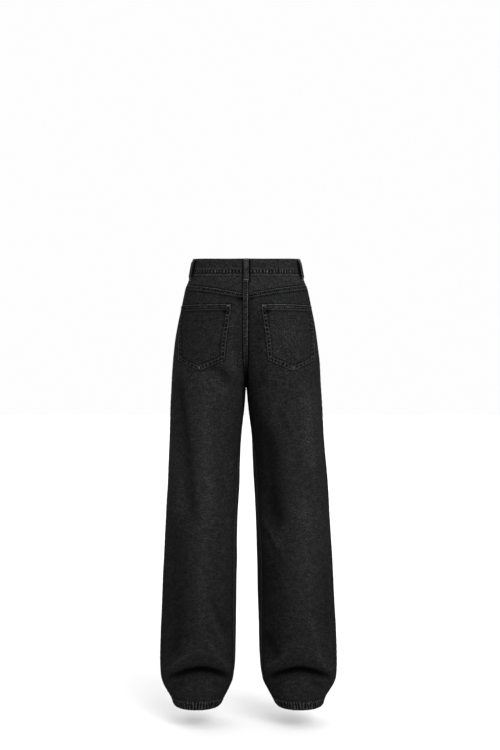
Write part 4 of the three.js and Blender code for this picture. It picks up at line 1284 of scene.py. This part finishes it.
def button():
    """A shank button: its profile turned about its axis, with a pole at both ends."""
    turn = np.linspace(0, 2 * math.pi, 48, endpoint=False)
    seat, normal = trunk_spots(np.zeros(1), 1.0, BAND_PROUD + 0.9)
    seat, out = seat[0] * (0, 1, 1), unit(normal[0] * (0, 1, 1))
    right = np.array((1.0, 0, 0))
    spokes = np.cos(turn)[:, None] * right + np.sin(turn)[:, None] * np.cross(out, right)
    rings, count = BUTTON_PROFILE[1:-1], len(turn)
    points = seat + rings[:, None, 1, None] * out + rings[:, None, 0, None] * spokes
    points = np.concatenate([points.reshape(-1, 3), seat + BUTTON_PROFILE[[0, -1], 1, None] * out])
    bottom, top, last = len(points) - 2, len(points) - 1, (len(rings) - 1) * count
    faces = quads(len(rings), count, closed=True, flip=True).tolist()
    faces += [[bottom, (k + 1) % count, k] for k in range(count)]
    faces += [[top, last + k, last + (k + 1) % count] for k in range(count)]
    piece = make_piece("waist_button", points, faces, [BUTTON_METAL])
    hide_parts("button")
    return piece


# ---------------------------------------------------------------- stitch paths


def back_path(half, z, arc):
    """A path on a back panel's outer face."""
    return spots(half, z, arc, back_relief(half, z, arc) + ON_CLOTH)


def front_path(half, z, arc, lift=ON_CLOTH):
    """A path on a front panel's outer face, or on the fly."""
    return spots(half, z, arc, front_relief(half, z, arc) + lift)


def pocket_path(half, z, share):
    """A path on a patch pocket's outer face."""
    arc, out = pocket_surface(half, z, share)
    return spots(half, z, arc, out + ON_CLOTH)


def yoke_threads():
    """Two rows below the yoke's seam, on each half."""
    share = np.linspace(0.01, 0.995, 120)
    rows = []
    for half in (1, -1):
        for below in (2.0, 9.0):
            z = yoke_line(share) - below
            rows.append(back_path(half, z, HALF_GAP + (side_arc(z) - HALF_GAP) * share))
    return rows


def pocket_threads():
    """Two rows inside the pocket's sides and foot, two rows across its hemmed mouth, and bar tacks
    at the corners and the point."""
    rows, tacks = [], []
    top = POCKET_TOP - 0.5
    half_foot = (POCKET_OUTER[1] - POCKET_INNER[1]) / 2
    mouth = np.linspace(0.012, 0.988, 110)
    for half in (1, -1):
        for inset in STITCH_INSETS:
            side_z = top + (POCKET_CORNER + inset * 0.75 - top) * np.linspace(0, 1, 90)
            inner, outer = pocket_sides(side_z)
            side_share = inset / (outer - inner)
            foot_share = 0.5 + np.linspace(-1, 1, 120) * (half_foot - inset) / half_foot / 2
            foot_z = pocket_bottom(foot_share) + inset * 1.03
            z = np.concatenate([side_z, foot_z, side_z[::-1]])
            share = np.concatenate([side_share, foot_share, 1 - side_share[::-1]])
            rows.append(pocket_path(half, z, share))
        for below in (2.2, MOUTH_HEM):
            rows.append(pocket_path(half, np.full(len(mouth), POCKET_TOP - below), mouth))
        for z, share, turn, length in POCKET_TACKS:
            ends = np.array([[-1], [1]]) * turn
            pair, normals = pocket_path(half, z + ends[:, 0], share + ends[:, 1])
            tacks.append(bar_tack(pair.mean(0), unit(pair[1] - pair[0]), unit(normals.mean(0)), length))
    return rows, tacks


def loop_threads():
    """Two rows of stitches down each belt loop and a bar tack across each of its feet."""
    rows, tacks = [], []
    for share in LOOPS.values():
        centres, side, outs = loop_path(share)
        face = centres + outs * (LOOP["thick"] + ON_CLOTH)
        rows += [(face + side * offset, outs) for offset in (-4.6, 4.6)]
        tacks += [bar_tack(face[k], side[k], outs[k], 11.5) for k in (2, -3)]
    return rows, tacks


def band_threads():
    """A row near each edge of the waistband."""
    length = BAND_LENGTH
    share = np.linspace(-1 - 0.3 * BAND_UNDERLAP / length, 1 + (BAND_OVERLAP - 2) / length, 520)
    return [trunk_spots(z, share, band_face(np.full_like(share, z), share, length)
                        + band_tuck(share, length) + ON_CLOTH) for z in BAND_STITCHES]


def hem_threads():
    """One row round each hem."""
    z = np.full(420, HEM_Z + HEM_STITCHES)
    arc = np.linspace(0, 1, len(z)) * around(z)
    return [spots(half, z, arc, hem_relief(z, arc) + ON_CLOTH) for half in (1, -1)]


def front_threads():
    """Two rows along each scooped pocket's edge and two along the fly's J."""
    rows = []
    for half in (1, -1):
        for inset in STITCH_INSETS:
            turn = np.radians(np.linspace(1, 88, 120))
            z = BAND_SEAM - (SCOOP_DEPTH + inset) * np.sin(turn)
            rows.append(front_path(half, z, side_arc(z) + HALF_GAP + (SCOOP_WIDTH + inset) * np.cos(turn)))
    for inset in (2.0, 8.0):
        turn = np.radians(np.linspace(0, 88, 60))
        straight = np.linspace(-24, FLY_SIDE_Z, 80)
        z = np.concatenate([straight, FLY_SIDE_Z - (FLY_SIDE_Z - FLY_POINT_Z - inset) * np.sin(turn)])
        wide = np.concatenate([straight * 0 + 1, np.cos(turn)]) * (FLY_WIDTH - inset)
        rows.append(front_path(1, z, around(z) - HALF_GAP - wide, SEAM_GAP + FLY_THICK + ON_CLOTH))
    return rows


# ---------------------------------------------------------------- the jeans

for side, half in (("left", 1), ("right", -1)):
    back_panel(half, side)
    front_panel(half, side)
    yoke(half, side)
    back_pocket(half, side)
    pocket_facing(half, side)
    hem_turn_up(half, side)
    inseam_rows = spaced((-308, -360, 2.0), (-360, HEM_Z + 2, 4.0))
    felled_seam(f"inseam_{side}", inseam_rows, 5.0, half=half)
    for k, offset in enumerate((-3.2, 3.2)):
        row = seam_path(inseam_rows, offset, half)
        thread_piece(f"inseam_stitches_{side}_{k}", *stitch_rows([row]), SEAM_THREAD, "denim")

seat_rows = CROTCH_Z + 0.5 + (SEAT_TOP - CROTCH_Z) * np.linspace(0, 1, 120) ** 1.4
felled_seam("seat_seam", seat_rows, SEAT_STRIP, over=SEAT_OVER)
crotch_rows = CROTCH_Z + 0.5 + (FLY_POINT_Z + 6 - CROTCH_Z) * np.linspace(0, 1, 80) ** 1.6
felled_seam("front_crotch_seam", crotch_rows, 6.0, front=True)
rise_rows = [seam_path(seat_rows, offset + SEAT_OVER) for offset in (-4.5, 4.5)]
rise_rows += [seam_path(crotch_rows, offset, front=True) for offset in (-4.2, 4.2)]
thread_piece("rise_seam_stitches", *stitch_rows(rise_rows), SEAM_THREAD, "denim")

fly_flap()
waistband()
for name, share in LOOPS.items():
    belt_loop(name, share)
button()

loop_rows, loop_tacks = loop_threads()
pocket_rows, pocket_tacks = pocket_threads()
for name, rows, slot in (("yoke", yoke_threads(), "denim"), ("pocket", pocket_rows, "denim_pocket"),
                         ("waistband", band_threads(), "denim_band"), ("hem", hem_threads(), "denim"),
                         ("front", front_threads(), "denim")):
    thread_piece(f"{name}_stitches", *stitch_rows(rows), SEAM_THREAD, slot)
thread_piece("belt_loop_stitches", *stitch_rows(loop_rows, 2.6, 0.5), SEAM_THREAD, "denim_band")
tacks = [np.concatenate(part) for part in zip(*(loop_tacks + pocket_tacks))]
thread_piece("bar_tacks", *tacks, TACK_THREAD, "denim_band", radius=0.34)

# ---------------------------------------------------------------- studio

FLOOR_Z, FLOOR_REACH = -1.175, 30.0
SKY_POWER = 0.985
CAMERA_PLACE, CAMERA_LENS, CAMERA_SENSOR = (-0.0094, 4.0, -0.2725), 73.8, 36

# Each light's name, the direction its rays come from, its spread in degrees and its power.
LIGHTS = (("key", (-0.42, 0.87, 0.45), 40, 3.1), ("front", (0.22, -0.87, 0.45), 60, 0.9))


def place_in_scene(name, data):
    """A new object in the scene."""
    thing = bpy.data.objects.new(name, data)
    bpy.context.scene.collection.objects.link(thing)
    return thing


def studio_floor():
    """A wide white floor under the wearer's feet."""
    mesh = bpy.data.meshes.new("studio_floor")
    corners = [(x * FLOOR_REACH, y * FLOOR_REACH, FLOOR_Z) for x, y in ((-1, -1), (1, -1), (1, 1), (-1, 1))]
    mesh.from_pydata(corners, [], [(0, 1, 2, 3)])
    mesh.materials.append(seamless_floor("studio white"))
    place_in_scene("studio_floor", mesh)


def distant_light(name, place, spread, power):
    """A far light whose rays come from the direction `place`, spread over some degrees."""
    light = bpy.data.lights.new(name, "SUN")
    light.energy = power
    light.angle = math.radians(spread)
    slope = math.atan2(math.hypot(place[0], place[1]), place[2])
    place_in_scene(name, light).rotation_euler = (slope, 0, math.atan2(place[0], -place[1]))


def studio_sky():
    """Even white surroundings."""
    world = bpy.data.worlds.new("studio surroundings")
    world.use_nodes = True
    tree = world.node_tree
    tree.nodes.clear()
    sky = tree.nodes.new("ShaderNodeBackground")
    sky.inputs[0].default_value = (1, 1, 1, 1)
    sky.inputs[1].default_value = SKY_POWER
    output = tree.nodes.new("ShaderNodeOutputWorld")
    tree.links.new(sky.outputs[0], output.inputs[0])
    bpy.context.scene.world = world


def camera_behind():
    """A level camera four metres behind the jeans."""
    lens = bpy.data.cameras.new("camera")
    lens.lens = CAMERA_LENS
    lens.sensor_width = CAMERA_SENSOR
    camera = place_in_scene("camera", lens)
    camera.location = CAMERA_PLACE
    camera.rotation_euler = (math.radians(90), 0, math.radians(180))
    bpy.context.scene.camera = camera


studio_floor()
studio_sky()
for light in LIGHTS:
    distant_light(*light)
camera_behind()
bpy.context.scene.view_settings.view_transform = "Standard"
